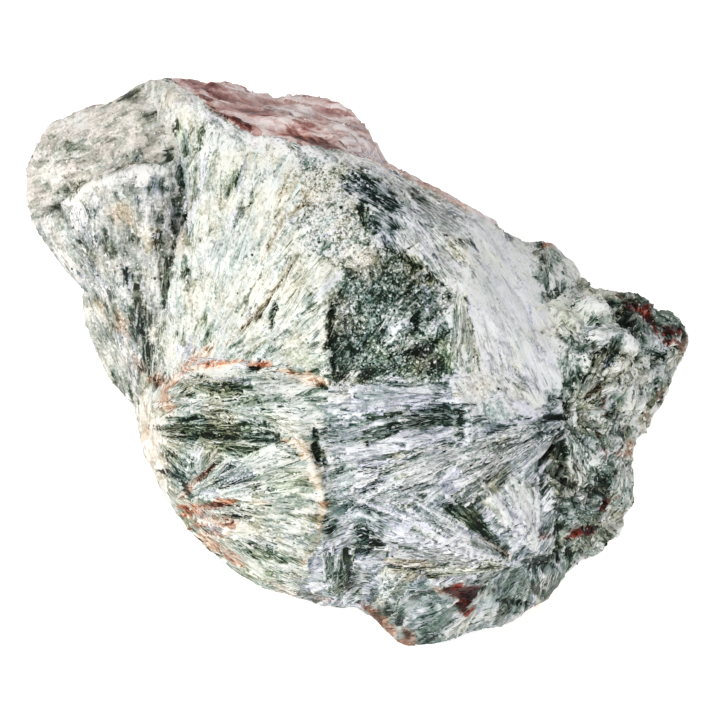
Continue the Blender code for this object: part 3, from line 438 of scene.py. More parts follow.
# pale patches: partly the stone's own pale colour, partly a painted highlight along the lit top edge of the
# wedge's ledge
palePatchesAndPaintedHighlights = [
    (0.32, 2.0, 19.6, 9, 20.5, 5.5, 21.5, 2.5), (0.16, 1.5, 27, 1, 30, -0.5), (0.16, 1.8, -8, -5, -4, -6.5),
    (0.22, 0.7, -29, 15.9, -26.5, 17.7, -23, 18.6, -19.5, 18.8), (0.12, 1, -30, 23, -27, 24.5),
    (0.15, 0.6, -21.2, 26.2, -20.8, 25.8), (0.12, 0.8, -30, 19.5, -30.5, 17.5),
    (0.12, 1.4, -11.5, 7.5, -14.5, 9.5), (0.15, 1.2, -8.5, 8.5, -10.5, 6), (0.1, 1, -13.5, 21, -12, 20),
    (0.12, 0.8, -5.5, 13, -6, 11), (0.14, 0.8, -4, 9.8, -3.8, 6), (0.38, 0.8, 2.5, 3.4, 5.2, 3.5),
    (0.25, 0.5, 2.4, 1.7, 5.8, 1.9), (0.3, 0.3, 4, 4.8, 2, 4), (0.18, 1, -2, 5.5, -0.8, 4.8),
    (0.22, 0.5, 6.5, 2.5, 8, 3.8), (0.3, 0.4, 8, 6, 9.2, 3), (0.2, 0.3, 2.2, -0.2, 3.5, -1.2),
    (0.2, 0.4, -1.5, -1.5, 0, -1.2), (0.4, 0.9, -7.5, -3.4, -3.8, -3.4), (0.15, 0.8, -9, -5, -4.5, -6),
    (0.18, 0.3, -8, -8, -6.4, -8.1, -5.6, -8.6, -5.1, -10, -4.3, -12, -3.6, -14),
    (0.35, 0.7, -9.8, -9.6, -6, -8.8), (0.3, 0.3, -18, -3.2, -16.4, -4.4), (0.2, 0.8, -8, -15.5, -4, -16.5),
    (0.25, 0.4, -17, -1.8, -11.5, -1.6), (0.6, 0.2, -17, -1.4, -14, -0.9, -11.5, -0.5),
    (0.2, 0.4, -13.5, -10.2, -11.5, -9.8), (0.18, 0.8, -11, -21, -8.5, -20.6),
    (0.25, 0.4, -7.8, -20.4, -6, -20.8), (0.22, 0.3, 0, -13.8, 6, -11.2, 12, -9.6),
    (0.25, 0.3, 8, -13.2, 14, -10.2, 18, -8), (0.15, 0.4, -3, -8, 4, -8.5), (0.15, 0.6, 6, -8.5, 14, -9.5),
    (0.2, 1, 6, -17, 11, -18.5), (0.45, 0.25, 9.6, -15.6, 10.5, -16.6), (0.2, 0.3, 4, -15.4, 8, -17),
    (0.2, 0.3, -1.5, -20, 1, -19.5), (0.12, 0.8, 9, -4, 11.5, -3.5), (0.15, 0.8, 14, -3.5, 18, -5),
    (0.3, 1, 22, 5.4, 24.6, 4.8), (0.22, 0.8, 23.2, 2.2, 25.4, 2.4), (0.25, 0.8, 26.2, 0.8, 27.8, 2.6),
    (0.25, 0.3, 26.2, 6, 29.5, 4.5), (0.25, 0.5, 31.2, 1.6, 32, 0.8), (0.2, 0.5, 29.5, 2, 30.4, 1.2),
    (0.25, 0.7, 25.5, -0.5, 26.5, 0), (0.35, 0.7, 23.2, -5.8, 24, -5.4), (0.25, 0.9, 26, -4.8, 28, -4.4),
    (0.3, 0.7, 22.8, -10.2, 23.8, -9), (0.5, 0.3, 22.8, -14.8, 23.5, -15.2),
    (0.22, 0.6, 24.6, -16.8, 25.8, -16.4), (0.22, 0.5, 23.6, -18.5, 24, -19.2),
    (0.2, 0.6, 26, -10, 26.8, -11.5), (0.2, 0.7, 19, -13, 18.5, -15), (0.2, 0.5, 29.5, -0.2, 30.5, -0.8),
    (0.2, 0.6, 28, -2.5, 27, -3.2), (0.15, 0.8, 16.5, -21.8, 19, -22.2), (0.12, 1, -8.5, 24.8, -5.5, 25.2),
    (0.16, 0.4, -3, 23.6, -1.2, 22.4, 0.6, 21.2, 2, 20.3), (0.1, 0.5, -15.5, 27.5, -11.5, 27.6),
]
rustStains = [
    (1, 0.35, -17.6, -1.1, -16, -0.7, -13.5, -0.4, -11.4, -0.1),
    (0.9, 0.35, -11.4, -0.4, -9.8, -0.2, -8.6, -0.6), (0.4, 0.4, -8.4, -1, -6, -1.5, -3.6, -2.3),
    (0.45, 0.8, -21, -2, -18.5, -2.4), (0.6, 0.35, -17.4, -0.7, -15.8, 0.6),
    (0.5, 0.3, -17.2, -0.9, -16.4, 1.2), (0.6, 0.4, -17.4, -0.9, -19.6, -3.2),
    (0.3, 0.4, -16.5, 27, -14.7, 25.3, -12.5, 23.9, -11, 23.2), (0.3, 0.4, -9, 23.1, -6.3, 22.4, -3.9, 21.8),
    (0.5, 0.8, -19.5, -3.5, -18.8, -5.2), (0.45, 0.4, -16, 0.4, -14.5, 1.5),
    (0.35, 0.5, -17.2, -0.2, -18.2, -1.8), (0.55, 0.3, -18, -13.8, -16, -11.8, -14.6, -10.6),
    (1, 0.45, -18, -14.6, -15.5, -14.6, -12, -13.9), (0.8, 0.4, -17.9, -15.6, -16.8, -15, -14.5, -14.7),
    (0.7, 0.5, -17, -16.8, -14.5, -15.8, -12, -16.4), (0.5, 0.5, -16, -17.4, -13, -17.2),
    (0.65, 0.45, -16.2, -17.6, -13.8, -19, -11.4, -20.6), (0.3, 0.3, -10.5, -14, -8.5, -14.2),
    (0.4, 0.3, -4, -14, -3, -14.6), (0.8, 0.5, 18.3, 11.4, 19.2, 11.9), (0.35, 0.5, 28.8, -5.2, 28.2, -7),
    (0.45, 0.4, 27.2, -8, 27, -9.6), (0.35, 0.3, 25.2, -9.2, 27, -9.6),
    (0.55, 0.5, 0.2, -24.3, 2, -25.8, 3.6, -28, 5.2, -28.5), (0.35, 0.5, 4.4, -26.8, 5.6, -28.6),
    (0.5, 0.25, 3.8, 18.8, 8, 16.5, 12.5, 14), (0.35, 0.25, 7.2, -22.6, 8.6, -23.4),
    (0.25, 0.8, -21.2, -7, -21, -12), (0.25, 0.3, -10, -21.8, -7, -23.2, -2, -24.2),
    (0.22, 0.6, -24, 4.2, -23.2, 2), (0.2, 0.6, -22.5, 0.5, -21.8, -1.2), (0.3, 0.5, -4.2, 24.8, -3.6, 22.8),
    (0.25, 0.3, -12, 26.2, -10.5, 25.7),
]
maroonStains = [
    (1, 0.4, 25.6, 6.4, 27, 5.5, 28.2, 5, 29.2, 3.8, 29.6, 2.6), (0.8, 0.6, 28.8, 4.2, 29.6, 2.8),
    (1, 0.6, 30.2, 3.4, 31.2, 2.6, 32.2, 3.2), (0.9, 0.4, 30.8, 2.4, 30.8, 1.4),
    (0.5, 0.5, 32.2, 2.6, 32.6, 0.8), (0.45, 0.4, 30.1, -2.8, 30.3, -4.2), (0.8, 0.2, 23.4, -6.8, 23.8, -7.8),
    (0.5, 0.2, 24.4, -3.5, 24.3, -5.8), (0.45, 0.15, 24, -8, 24.6, -10), (0.8, 0.35, 24, -15.2, 25, -13.9),
    (0.5, 0.3, 25.2, -13.7, 26, -13.5), (1, 0.5, 20.6, -17.9, 22, -17.2, 23.6, -16.6),
    (0.9, 0.5, 22.8, -17.4, 23.4, -16.8), (0.5, 0.3, 17.8, -17.6, 19.2, -17.5),
    (1, 0.7, 8.6, -22.9, 10.3, -23.1, 12, -22.6), (1, 1, 9.8, -23.5, 11.1, -23.3),
    (1, 0.7, 10.3, -23.8, 10.5, -25.3), (0.7, 0.4, -6.6, 23.8, -5.2, 23.4, -4, 23),
    (0.6, 0.28, -15.6, 27.8, -13.5, 27.5, -11.2, 27.2), (0.55, 0.25, -8.5, 22.8, -5, 22.1, -2, 21.2),
    (0.45, 0.2, -15.6, 25.8, -13.2, 24.2, -11, 23.4), (0.4, 0.2, -11.5, 24.8, -8.5, 24.2),
    (0.4, 0.3, 4.2, -27, 5, -27.8),
]
tanStains = [
    (1, 0.4, -8, -8, -6.4, -8.1, -5.7, -8.5, -5.2, -9.7, -4.4, -12, -3.6, -14),
    (1, 0.4, -6.2, -8.1, -5.2, -9.5), (0.8, 0.35, -3.6, -14, -3.9, -15.8, -4, -17.2),
    (0.6, 0.18, -4, -17.6, -5.2, -19.4, -6.3, -21.4), (0.85, 0.4, -8.4, -0.9, -6, -1.4, -2.9, -2.4),
    (0.6, 0.3, -7.5, -1.9, -3.5, -2.5), (0.5, 1, -24.8, 15.2, -22.8, 13.8),
    (0.4, 0.7, -21.4, 13.5, -20.8, 10.5), (0.5, 0.6, -17.8, 12.8, -18, 10.2),
    (0.4, 0.4, -13.4, 1.6, -9.8, 5.2, -6.4, 10), (0.5, 0.5, -9.9, 9.8, -7.6, 14.2, -5.4, 15.6),
    (0.4, 0.6, -7.5, 17.5, -8.8, 13.8), (0.35, 1, -5.5, 16.5, -4, 16), (0.3, 1, -18, 26, -19.5, 26.8),
    (0.35, 0.7, -26.8, 6, -26, 4.8), (0.4, 0.5, -24.2, 5, -23.4, 3), (0.3, 1, -21.5, -4, -21, -11),
    (0.4, 0.6, -20, -9.5, -19.5, -12), (0.4, 0.4, 2, -20, 8, -20.6), (0.35, 0.3, 4, -21.8, 7, -21.4),
    (0.35, 1, 9.5, -3.5, 13, -2.5), (0.5, 0.6, 22.6, -3.5, 24, -2.8), (0.35, 0.3, 11.5, -17.5, 15, -19.5),
    (0.45, 0.5, 32.4, 1.5, 32, 0.4), (0.3, 1, -1.5, 11, 1, 9.8), (0.25, 1.2, -2.5, 13.5, -1, 12.5),
    (0.3, 0.5, -11, -14, -9, -14.5),
]
lilacPatches = [
    (0.8, 1.3, -13.5, -11.8, -11, -11), (0.7, 0.8, -27.2, 14.8, -25.8, 15.2),
    (0.8, 0.8, -21.8, 17.2, -18.5, 17), (0.6, 0.8, -20, 14.5, -19.2, 12), (0.6, 1.2, -28.5, 12, -25, 12),
    (0.5, 1.2, -6.5, 19.5, -3, 20), (0.6, 0.8, -17, 26, -13.5, 24.2), (0.5, 0.6, -9, 22.2, -5.5, 21),
    (0.7, 1, -9.5, 25, -5, 25.4), (0.8, 0.5, -3, 23.7, -1, 22.2, 1.8, 20.5), (0.5, 1, 23, 2.4, 26, 2.6),
    (0.6, 1, -2.2, 5.2, -0.5, 4.8), (0.7, 0.8, 2.5, 3.4, 5.2, 3.4), (0.6, 0.5, 7.6, 11.2, 8.3, 10.8),
    (0.5, 1.5, 7, 9.8, 8.5, 12), (0.6, 0.8, 29.8, -0.5, 30.4, -1), (0.6, 1, 18.5, -14, 20, -15.5),
    (0.6, 1.2, -3.5, -20, -2, -19), (0.7, 0.9, -3.4, -16, -3, -17.2), (0.6, 1, -1.5, -16, 2.5, -15.2),
    (0.4, 1, -16, -15.5, -11.5, -15), (0.6, 1, 1, -11, 1.4, -12.5), (0.5, 1.2, 2.5, -6.5, 0, -8),
    (0.5, 2, 8, -4, 12, -8), (0.4, 0.6, -11.5, -18, -8.5, -18.5),
]
mossPatches = [
    (1.2, 0.5, 4, 10.3, 6.5, 9, 8.8, 7), (0.6, 0.8, 8, 2, 8.8, -0.5), (0.5, 1, 4, -1, 7, -1.8),
    (0.5, 1, 1, 2, 2.5, 0), (0.4, 0.8, -16, -3, -10, -4), (0.6, 0.8, -14.5, -8.8, -9.8, -9.2),
    (0.4, 0.8, -18, -7, -10, -7), (0.5, 0.6, -9.8, -4.5, -8.2, -6.5), (0.5, 1, -9, -12, -5, -13),
    (0.6, 0.8, -11.5, -20.8, -8.2, -21), (0.4, 0.4, -12, -19, -6, -20.2), (0.4, 0.8, 2.5, -11, 4, -9),
    (0.5, 0.6, 12, -13.2, 15.5, -10.8), (0.4, 1, -3, -12, -1, -11), (0.5, 0.6, 0.5, -21.5, -1, -23.8),
    (0.4, 0.8, 9, -15, 12, -17), (0.5, 1, 19, -9.5, 21, -8.8), (0.4, 1, 20.5, 3, 20, 6),
    (0.5, 0.8, 24, 4.2, 26.5, 3.5), (0.4, 0.8, 21.5, -0.5, 24, -1), (0.4, 1, 26, -4.5, 28, -5.5),
    (0.5, 0.8, 24, -3.5, 21.5, -4.5), (0.3, 1.2, -13.5, 18, -11, 18), (0.4, 0.6, -10.5, 16.5, -12, 14.5),
    (0.5, 0.4, -15.5, 4, -15.2, 1), (0.4, 0.8, -7, 0.5, -3.5, 0), (0.3, 0.8, -21, 1, -21, -2),
    (0.5, 0.6, -23.8, 26.2, -22.2, 26.8), (0.5, 0.5, -18.8, 21, -18.2, 23.5), (0.3, 0.8, 9, 12, 10, 10.4),
    (0.4, 0.8, 18.5, 9.5, 18.8, 8.5), (0.4, 0.6, -30, 16, -27.5, 17.8),
]

# Swells and hollows of the stone, as strokes too: a height in mm, a half width and the points
swells = [
    (0.55, 1.2, -29.4, 15.6, -27.5, 17, -25.5, 17.9, -22.5, 18.7, -19.5, 18.8),
    (-0.4, 0.8, -31.5, 14.8, -29, 17, -26.8, 18.5, -23.5, 19.6, -20, 20.2),
    (0.2, 0.5, -3.8, 7.5, -3.5, 4, -3.3, -1.2), (-0.2, 1.4, -1.4, 6, -1.4, 2, -1.2, -1.5),
    (0.45, 0.7, 9.5, -2.8, 9.8, -4.4, 10.8, -5.5, 10.8, -7.8), (-0.3, 0.7, 8, -2, 7.6, -4, 9, -6.5),
    (0.35, 0.7, 2.8, 3.4, 5, 3.4), (-0.4, 0.5, 5.8, 4.2, 5.5, 2.6), (0.3, 0.6, 6.5, 2.7, 7.6, 3.4),
    (-0.4, 0.6, 7.6, 1.6, 4.5, 0.5), (0.3, 0.4, 8.6, 6, 9.2, 2.5), (0.35, 0.8, 20, -6.8, 14, -9.5, 7, -12),
    (0.25, 0.6, 20, -6.2, 11, -8, 4, -9.5), (0.45, 1.2, 15.2, -20, 9, -18, 4, -16.8),
    (0.35, 1.2, 17.2, -18.8, 14.5, -15.5), (-0.5, 0.9, 8.8, -14.6, 11.5, -16.8, 14, -19.2),
    (-0.4, 0.8, 12, -13.5, 16, -11), (-0.45, 0.8, -18.8, -6.8, -14, -7, -7, -7.8),
    (0.3, 0.6, -17.5, -5, -11, -5.2, -5, -4), (0.3, 0.8, -15, -9.2, -10, -9.6, -6, -9),
    (0.3, 1, -16, -14, -10, -13, -5, -12), (0.25, 1, -16, -16.2, -10, -16.8, -5, -16.5),
    (0.2, 0.3, -17.4, -0.8, -11.5, -0.2), (-0.35, 0.4, -16.5, -1.7, -10, -1.6, -3.5, -2.7),
    (0.3, 0.35, -7, -8.1, -5.6, -8.6, -5.1, -10, -4.3, -12.2, -3.5, -14), (-0.5, 0.7, 5.2, -23.8, 8, -24),
    (-0.5, 0.8, 12.2, -23.2, 15.5, -21.6, 19.2, -20.6), (0.6, 0.9, 22.2, 5.4, 24.4, 4.8),
    (0.5, 0.8, 23.2, 2.4, 25.4, 2.4), (0.6, 0.8, 26.2, 1, 27.8, 2.4),
    (-0.5, 0.6, 24.4, 6.4, 26.5, 4.2, 28.2, 1.4), (0.4, 0.4, 26.2, 6.1, 29.5, 4.6),
    (0.5, 0.8, 20, 9.8, 21.2, 7.5), (0.5, 0.7, 23.2, -5.8, 24, -5.2), (0.5, 0.9, 25.8, -4.8, 28, -4.2),
    (0.5, 0.7, 22.8, -10.2, 23.8, -9), (0.4, 0.7, 19, -13.2, 18.5, -14.8), (0.5, 0.7, 26.5, -0.2, 25.2, -0.8),
    (-0.4, 0.6, 21.2, -12.8, 24.4, -13.2), (-0.4, 0.5, 24.8, -1.6, 22.6, -3.8),
    (0.35, 0.8, -15, 27.4, -11.5, 27.3), (-0.2, 0.4, -15.5, 26.3, -11, 25.9, -6, 26),
    (0.3, 0.8, -10, 24.8, -5, 25.2), (-0.25, 0.5, -7.4, 23.1, -4.8, 23.1, -3, 22.2),
    (0.35, 0.5, -2.8, 23.6, -1, 22.3, 1.4, 20.8), (0.3, 0.8, -2.5, 25.5, -0.5, 24),
]
strokes = dict(crack=cracksWithPaintedShade, dark=darkPatchesAndPaintedShadows, pale=palePatchesAndPaintedHighlights, rust=rustStains, maroon=maroonStains,
               tan=tanStains, lilac=lilacPatches, moss=mossPatches)

# Where across a stroke it begins to fade and where it ends, in half widths
strokeEdges = dict(crack=(0.2, 1.4), dark=(-0.2, 2.2), pale=(-0.2, 2.2), rust=(0.1, 1.7), maroon=(0.5, 1.3),
                   tan=(0.2, 1.7), lilac=(-0.2, 2.2), moss=(-0.2, 2.2), swell=(0.0, 1.8))


# All of that as one list of fans, which the functions below read

plainFan = dict(speck=0.10, rind=0.0, crust=0.0, crumb=0.0, loose=0.0)
groundFan = dict(halfSpread=60, reach=2, leastBlades=6, bladesPerMm=1.6, lift=0.06)
fanReference = 0.6   # the share of a fan's length at which its fibres have their own width


def asFan(root, heading, halfSpread, start, end, blades, tone, streak, lilac, lift, crumb=0.0, **more):
    turn = math.radians(heading)
    fan = dict(plainFan, heading=turn, halfSpread=math.radians(halfSpread), start=start, end=end,
               blades=blades, tone=tone, streak=streak, lilac=lilac, lift=lift, crumb=crumb,
               reference=end * fanReference)
    fan.update(more)
    fan["root"] = np.array((root[0], root[1], 0.0))
    fan["ahead"] = np.array((math.cos(turn), math.sin(turn), 0.0))
    fan["aside"] = np.array((-math.sin(turn), math.cos(turn), 0.0))
    return fan


def groundAsFan(ground):   # its fibres run from its root, whatever its outline
    way = np.mean(ground["outline"], axis=0) - ground["root"]
    reach = float(np.hypot(*way))
    blades = max(groundFan["leastBlades"], int(reach * groundFan["bladesPerMm"]))
    return asFan(ground["root"], math.degrees(math.atan2(way[1], way[0])), groundFan["halfSpread"], 0,
                 reach * groundFan["reach"], blades, ground["tone"], ground["streak"], ground.get("lilac", 0),
                 groundFan["lift"], reference=reach,
                 **{key: ground[key] for key in plainFan if key in ground})


groundNumbers = {name: number for number, name in enumerate(grounds)}
shownFans = [groundAsFan(ground) for ground in grounds.values()]
firstFan = len(shownFans)
shownFans += [asFan(*fan) for fan in fans.values()]
firstPiece = len(shownFans)


def insideOutline(places, outline):
    x, y = places[:, 0], places[:, 1]
    inside = np.zeros(len(places), bool)
    for (x0, y0), (x1, y1) in zip(outline, outline[1:] + outline[:1]):
        if y0 != y1:
            inside ^= ((y0 > y) != (y1 > y)) & (x < (x1 - x0) * (y - y0) / (y1 - y0) + x0)
    return inside


def spotsIn(box, count, luck):
    (west, east), (south, north) = box
    return np.stack([luck.uniform(west, east, count), luck.uniform(south, north, count)], axis=1)


def rootBehind(place, turn, reach, share):
    return place[:2] - np.array((math.cos(turn), math.sin(turn))) * reach * share


# The crumbled right side is many small pieces of fan, each turned its own way
crumbled = dict(ground="right crumble", count=50, tries=999, seed=12, box=((17, 36), (-24, 14)),
                reach=(3.5, 7.5), behind=0.6, spread=(16, 40), blades=(3, 7), tone=0.60, toneSpread=0.12,
                streak=(0.2, 0.6), lilac=(0, 0.45), lift=0.16, crumb=(0.3, 0.8), speck=(0.0, 0.12),
                seam=(0.1, 0.75))


def crumbledPieces():
    values = crumbled
    luck = np.random.RandomState(values["seed"])
    places = spotsIn(values["box"], values["tries"], luck)
    places = places[insideOutline(places, grounds[values["ground"]]["outline"])][:values["count"]]
    made = []
    for place in places:
        heading = luck.uniform(0, 360)
        reach = luck.uniform(*values["reach"])
        made.append(asFan(
            rootBehind(place, math.radians(heading), reach, values["behind"]), heading,
            luck.uniform(*values["spread"]), 0, reach, int(luck.randint(*values["blades"])),
            values["tone"] + values["toneSpread"] * luck.normal(), luck.uniform(*values["streak"]),
            luck.uniform(*values["lilac"]), values["lift"], luck.uniform(*values["crumb"]),
            speck=luck.uniform(*values["speck"])))
    return places, made


crumbledMiddles, pieces = crumbledPieces()
shownFans += pieces
firstFeather = len(shownFans)


def fanTable(allFans):
    return {key: np.array([fan[key] for fan in allFans], float) for key in allFans[0]}


def placeInFan(points, table, index):   # mm from the root, and the angle from the fan's middle
    gap = points - table["root"][index]
    x = np.sum(gap * table["ahead"][index], axis=1)
    y = np.sum(gap * table["aside"][index], axis=1)
    return np.hypot(x, y), np.arctan2(y, x)


# How ragged the edges are, in mm or as shares, and how far neighbouring grounds run into each other
raggedness = dict(ground=0.75, fineGround=0.45, calmCrust=0.7, bladeSide=0.55, fanSide=0.16,
                  fanStart=(0.8, 0.5), fanEnd=0.34, shownLimit=0.04, shownNoise=0.12, hidden=1.6, stroke=0.9,
                  fineStroke=0.6, swell=0.3, blend=1.3, blendShares=((0, 0.33), (2, 0.5)))


def bladeAt(along, angle, table, index):   # which blade of its fan, and where across it
    place = (angle / table["halfSpread"][index] + 1) / 2 * table["blades"][index]
    place = place + raggedness["bladeSide"] * pattern("bladeSide", along, place, index)
    return np.floor(place), place - np.floor(place)


def groundIndex(points):
    warp = eachWay("groundEdge", points, (0, 1)) * raggedness["ground"]
    warp += eachWay("fineGroundEdge", points, (0, 1)) * raggedness["fineGround"]
    places = points[:, :2] + warp
    index = np.full(len(points), groundNumbers["middle fans"])
    for number, ground in enumerate(grounds.values()):
        calm = ground.get("crust", 0) * raggedness["calmCrust"]
        index[insideOutline(places - warp * calm, ground["outline"])] = number
    return index, places


def reachedBy(number, points, table):   # which of the points a fan covers
    fan = np.full(len(points), number)
    along, angle = placeInFan(points * (1, 1, 0), table, fan)
    blade = bladeAt(along, angle, table, fan)[0]
    luck = chance(columns(blade, number, 1), chanceSeeds["bladeReach"])
    stray = 1 + raggedness["fanSide"] * pattern("fanSide", along, blade, number)
    least, further = raggedness["fanStart"]
    reached = along > table["start"][number] * (least + further * luck)
    reached &= along < table["end"][number] * (1 - raggedness["fanEnd"] * luck)
    return reached & (np.abs(angle) < table["halfSpread"][number] * stray)


def shownIndex(points, table):   # the topmost ground, fan or featherlet at each point of the broken face
    index, places = groundIndex(points)
    crust = index == groundNumbers["crust"]
    loose = index == groundNumbers[crumbled["ground"]]
    gaps = np.linalg.norm(places[loose][:, None] - crumbledMiddles[None], axis=2)
    index[loose] = firstPiece + np.argmin(gaps, axis=1)
    for number in range(firstFan, firstPiece):
        index[reachedBy(number, points, table)] = number
    order = np.argsort(points[:, 0])
    ranked = points[order, 0]
    for number in range(firstFeather, len(shownFans)):
        half = shownFans[number]["end"] * featherlets["window"]
        middle = shownFans[number]["root"] + shownFans[number]["ahead"] * half
        near = order[slice(*np.searchsorted(ranked, (middle[0] - half, middle[0] + half)))]
        near = near[np.abs(points[near, 1] - middle[1]) < half]
        if len(near):
            index[near[reachedBy(number, points[near], table)]] = number
    index[crust] = groundNumbers["crust"]
    return index


# Featherlets: small fans that lie along the large ones, each a little turned and of its own tone
featherlets = dict(count=900, seed=21, box=((-34, 33), (-29, 29)), reach=(1.3, 5.5), reachBias=1.6,
                   behind=0.5, window=0.6, spread=(4, 15), blades=(2, 5), turn=9, looseTurn=60, flipped=0.35,
                   toneSpread=0.13, toneLeast=0.25, darkShare=0.14, darker=0.30, paleShare=0.12, paler=0.20,
                   lilacSpread=0.40, lift=0.08, mostWeathered=0.5)


def madeFeatherlets(below):
    values = featherlets
    luck = np.random.RandomState(values["seed"])
    places = np.column_stack([spotsIn(values["box"], values["count"], luck), np.zeros(values["count"])])
    table = fanTable(below)
    index = shownIndex(places, table)
    shortest, longest = values["reach"]
    made = []
    for place, number, angle in zip(places, index, placeInFan(places, table, index)[1]):
        fan = below[number]
        wander = luck.normal() * (values["turn"] + values["looseTurn"] * fan["loose"])
        turn = fan["heading"] + angle + math.radians(wander)
        turn += math.pi * (luck.rand() < values["flipped"])
        reach = shortest + (longest - shortest) * luck.rand() ** values["reachBias"]
        shift = luck.normal() * values["toneSpread"]
        kind = luck.rand()
        if kind < values["darkShare"]:
            shift -= values["darker"]
        elif kind > 1 - values["paleShare"]:
            shift += values["paler"]
        spread = luck.uniform(*values["spread"])
        blades = int(luck.randint(*values["blades"]))
        lilac = fan["lilac"] + luck.normal() * values["lilacSpread"]
        if max(fan["rind"], fan["crust"], fan["crumb"]) <= values["mostWeathered"]:
            root = rootBehind(place, turn, reach, values["behind"])
            tone = fan["tone"] + shift * (values["toneLeast"] + fan["streak"])
            made.append(asFan(root, math.degrees(turn), spread, 0, reach, blades, tone, fan["streak"], lilac,
                              values["lift"], **{key: fan[key] for key in plainFan}))
    return made


shownFans += madeFeatherlets(shownFans)


# The hidden side: fans and weathered rind laid out by chance, with dirt in them, and the crust that runs on
# over them. Rust and tan have the noise at which they begin, the one at which they are full, and a strength.
hiddenSide = dict(seed=8, count=150, facing=0.15, fibrousShare=0.42, reach=(6.0, 13.0), behind=0.5,
                  spread=(14, 34), blades=(4, 9), lilac=(0, 0.5), lift=0.14,
                  rust=(0.22, 0.6, 0.5), tan=(0.2, 0.7, 0.45),
                  underCrust=[(-20, 10), (-20, 31), (3, 31), (17, 16), (10, 9), (-4, 12)],
                  crustBehind=(-15, -5), crustBehindDirt=7,
                  crustTop=(9, 15), crustTopDirt=5, crustTopShare=0.85)
hiddenKinds = dict(fibrous=dict(tone=(0.56, 0.80), streak=(0.35, 0.65), speck=0.12, rind=0.1),
                   weathered=dict(tone=(0.60, 0.74), streak=0.24, speck=0.32, rind=0.85))


def hiddenFans(points, normals):
    values = hiddenSide
    luck = np.random.RandomState(values["seed"])
    picks = luck.choice(len(points), values["count"], replace=False)
    made = []
    for middle, normal in zip(points[picks], normals[picks]):
        ahead = np.cross(normal, luck.normal(size=3))
        ahead /= np.linalg.norm(ahead)
        fibrous = luck.rand() < values["fibrousShare"]
        kind = hiddenKinds["fibrous" if fibrous else "weathered"]
        reach = luck.uniform(*values["reach"])
        fan = asFan((0, 0), 0, luck.uniform(*values["spread"]), 0, reach,
                    int(luck.randint(*values["blades"])), luck.uniform(*kind["tone"]),
                    luck.uniform(*kind["streak"]) if fibrous else kind["streak"],
                    luck.uniform(*values["lilac"]), values["lift"], speck=kind["speck"], rind=kind["rind"])
        fan.update(root=middle - ahead * reach * values["behind"], ahead=ahead, aside=np.cross(normal, ahead))
        made.append(fan)
    return made, points[picks]


def hiddenIndex(points, middles):
    warped = points + raggedness["hidden"] * eachWay("hiddenEdge", points, (0, 4, 8))
    nearest = np.full(len(points), np.inf)
    index = np.zeros(len(points), int)
    for number, middle in enumerate(middles):
        gap = np.sum((warped - middle) ** 2, axis=1)
        nearer = gap < nearest
        nearest[nearer] = gap[nearer]
        index[nearer] = number
    return index


# How wide a stroke ends, how soon it is at its full width, and how far around it a point can be touched
strokeEnds = dict(width=0.35, taper=4, margin=3.5)


def lineWeight(places, line, halfWidth, ragged, edge):   # a stroke that narrows towards both ends
    steps = np.linalg.norm(np.diff(line, axis=0), axis=1)
    begun = np.cumsum(steps) - steps
    nearest = np.full(len(places), np.inf)
    least = strokeEnds["width"]
    for here, there, step, before in zip(line[:-1], line[1:], steps, begun):
        share = np.clip((places - here) @ (there - here) / step ** 2, 0, 1)
        gap = np.linalg.norm(places - here - share[:, None] * (there - here), axis=1)
        place = (before + share * step) / steps.sum()
        inward = np.minimum(1, strokeEnds["taper"] * np.minimum(place, 1 - place))
        nearest = np.minimum(nearest, gap / (halfWidth * (least + (1 - least) * inward)))
    return 1 - smoothStep(nearest + ragged, *edge)


def drawn(places, lines, ragged, edge, gather=np.maximum):
    total = np.zeros(len(places))
    for strength, halfWidth, *line in lines:
        corners = np.array(line, float).reshape(-1, 2)
        margin = halfWidth * strokeEnds["margin"]
        near = (places > corners.min(axis=0) - margin) & (places < corners.max(axis=0) + margin)
        near = np.all(near, axis=1)
        if near.any():
            weight = strength * lineWeight(places[near], corners, halfWidth, ragged[near], edge)
            total[near] = gather(total[near], weight)
    return total


def crumbledSeams(points):   # 1 on the seams between crumbled pieces, which are darkened as painted shade in the gaps and cut in
    nearest = np.full(len(points), np.inf)
    second = np.full(len(points), np.inf)
    for middle in crumbledMiddles:
        gap = np.linalg.norm(points[:, :2] - middle, axis=1)
        second = np.minimum(second, np.maximum(gap, nearest))
        nearest = np.minimum(nearest, gap)
    return 1 - smoothStep(second - nearest, *crumbled["seam"])


# How strongly each mark and pattern changes the tone; seam darkens the gaps between crumbled pieces as
# painted shade
mottles = dict(wide=0.06, rind=0.13, rindGrain=0.08, crust=0.11, crustPale=(-0.1, 0.6), seam=0.26, rust=0.20,
               maroon=0.32, dark=1.2, pale=1.25, blade=0.30, calmSpeck=(0.7, 2))


def runTogether(keep, table, points, onGround):   # grounds run into each other
    for shift, share in raggedness["blendShares"]:
        push = columns(*eachWay("blend", points[onGround], (shift, shift + 1)).T, 0)
        other = groundIndex(points[onGround] + raggedness["blend"] * push)[0]
        for key in ("tone", "streak", "speck", "rind", "lilac"):
            keep[key][onGround] += (table[key][other] - keep[key][onGround]) * share


def hiddenDirt(points, hidden):   # rust, tan and crust on the hidden side
    values = hiddenSide
    dirt = pattern("dirt", points)
    height = points @ faceAxes[:, 2]   # above the stone's middle, in the world
    rust = hidden * smoothStep(dirt, *values["rust"][:2]) * values["rust"][2]
    tan = hidden * smoothStep(pattern("tanDirt", points), *values["tan"][:2]) * values["tan"][2]
    behind = insideOutline(points[:, :2], values["underCrust"]) * smoothStep(
        points[:, 2] + values["crustBehindDirt"] * dirt, *values["crustBehind"])
    top = smoothStep(height + values["crustTopDirt"] * dirt, *values["crustTop"]) * values["crustTopShare"]
    return rust, tan, hidden * np.maximum(top, behind)


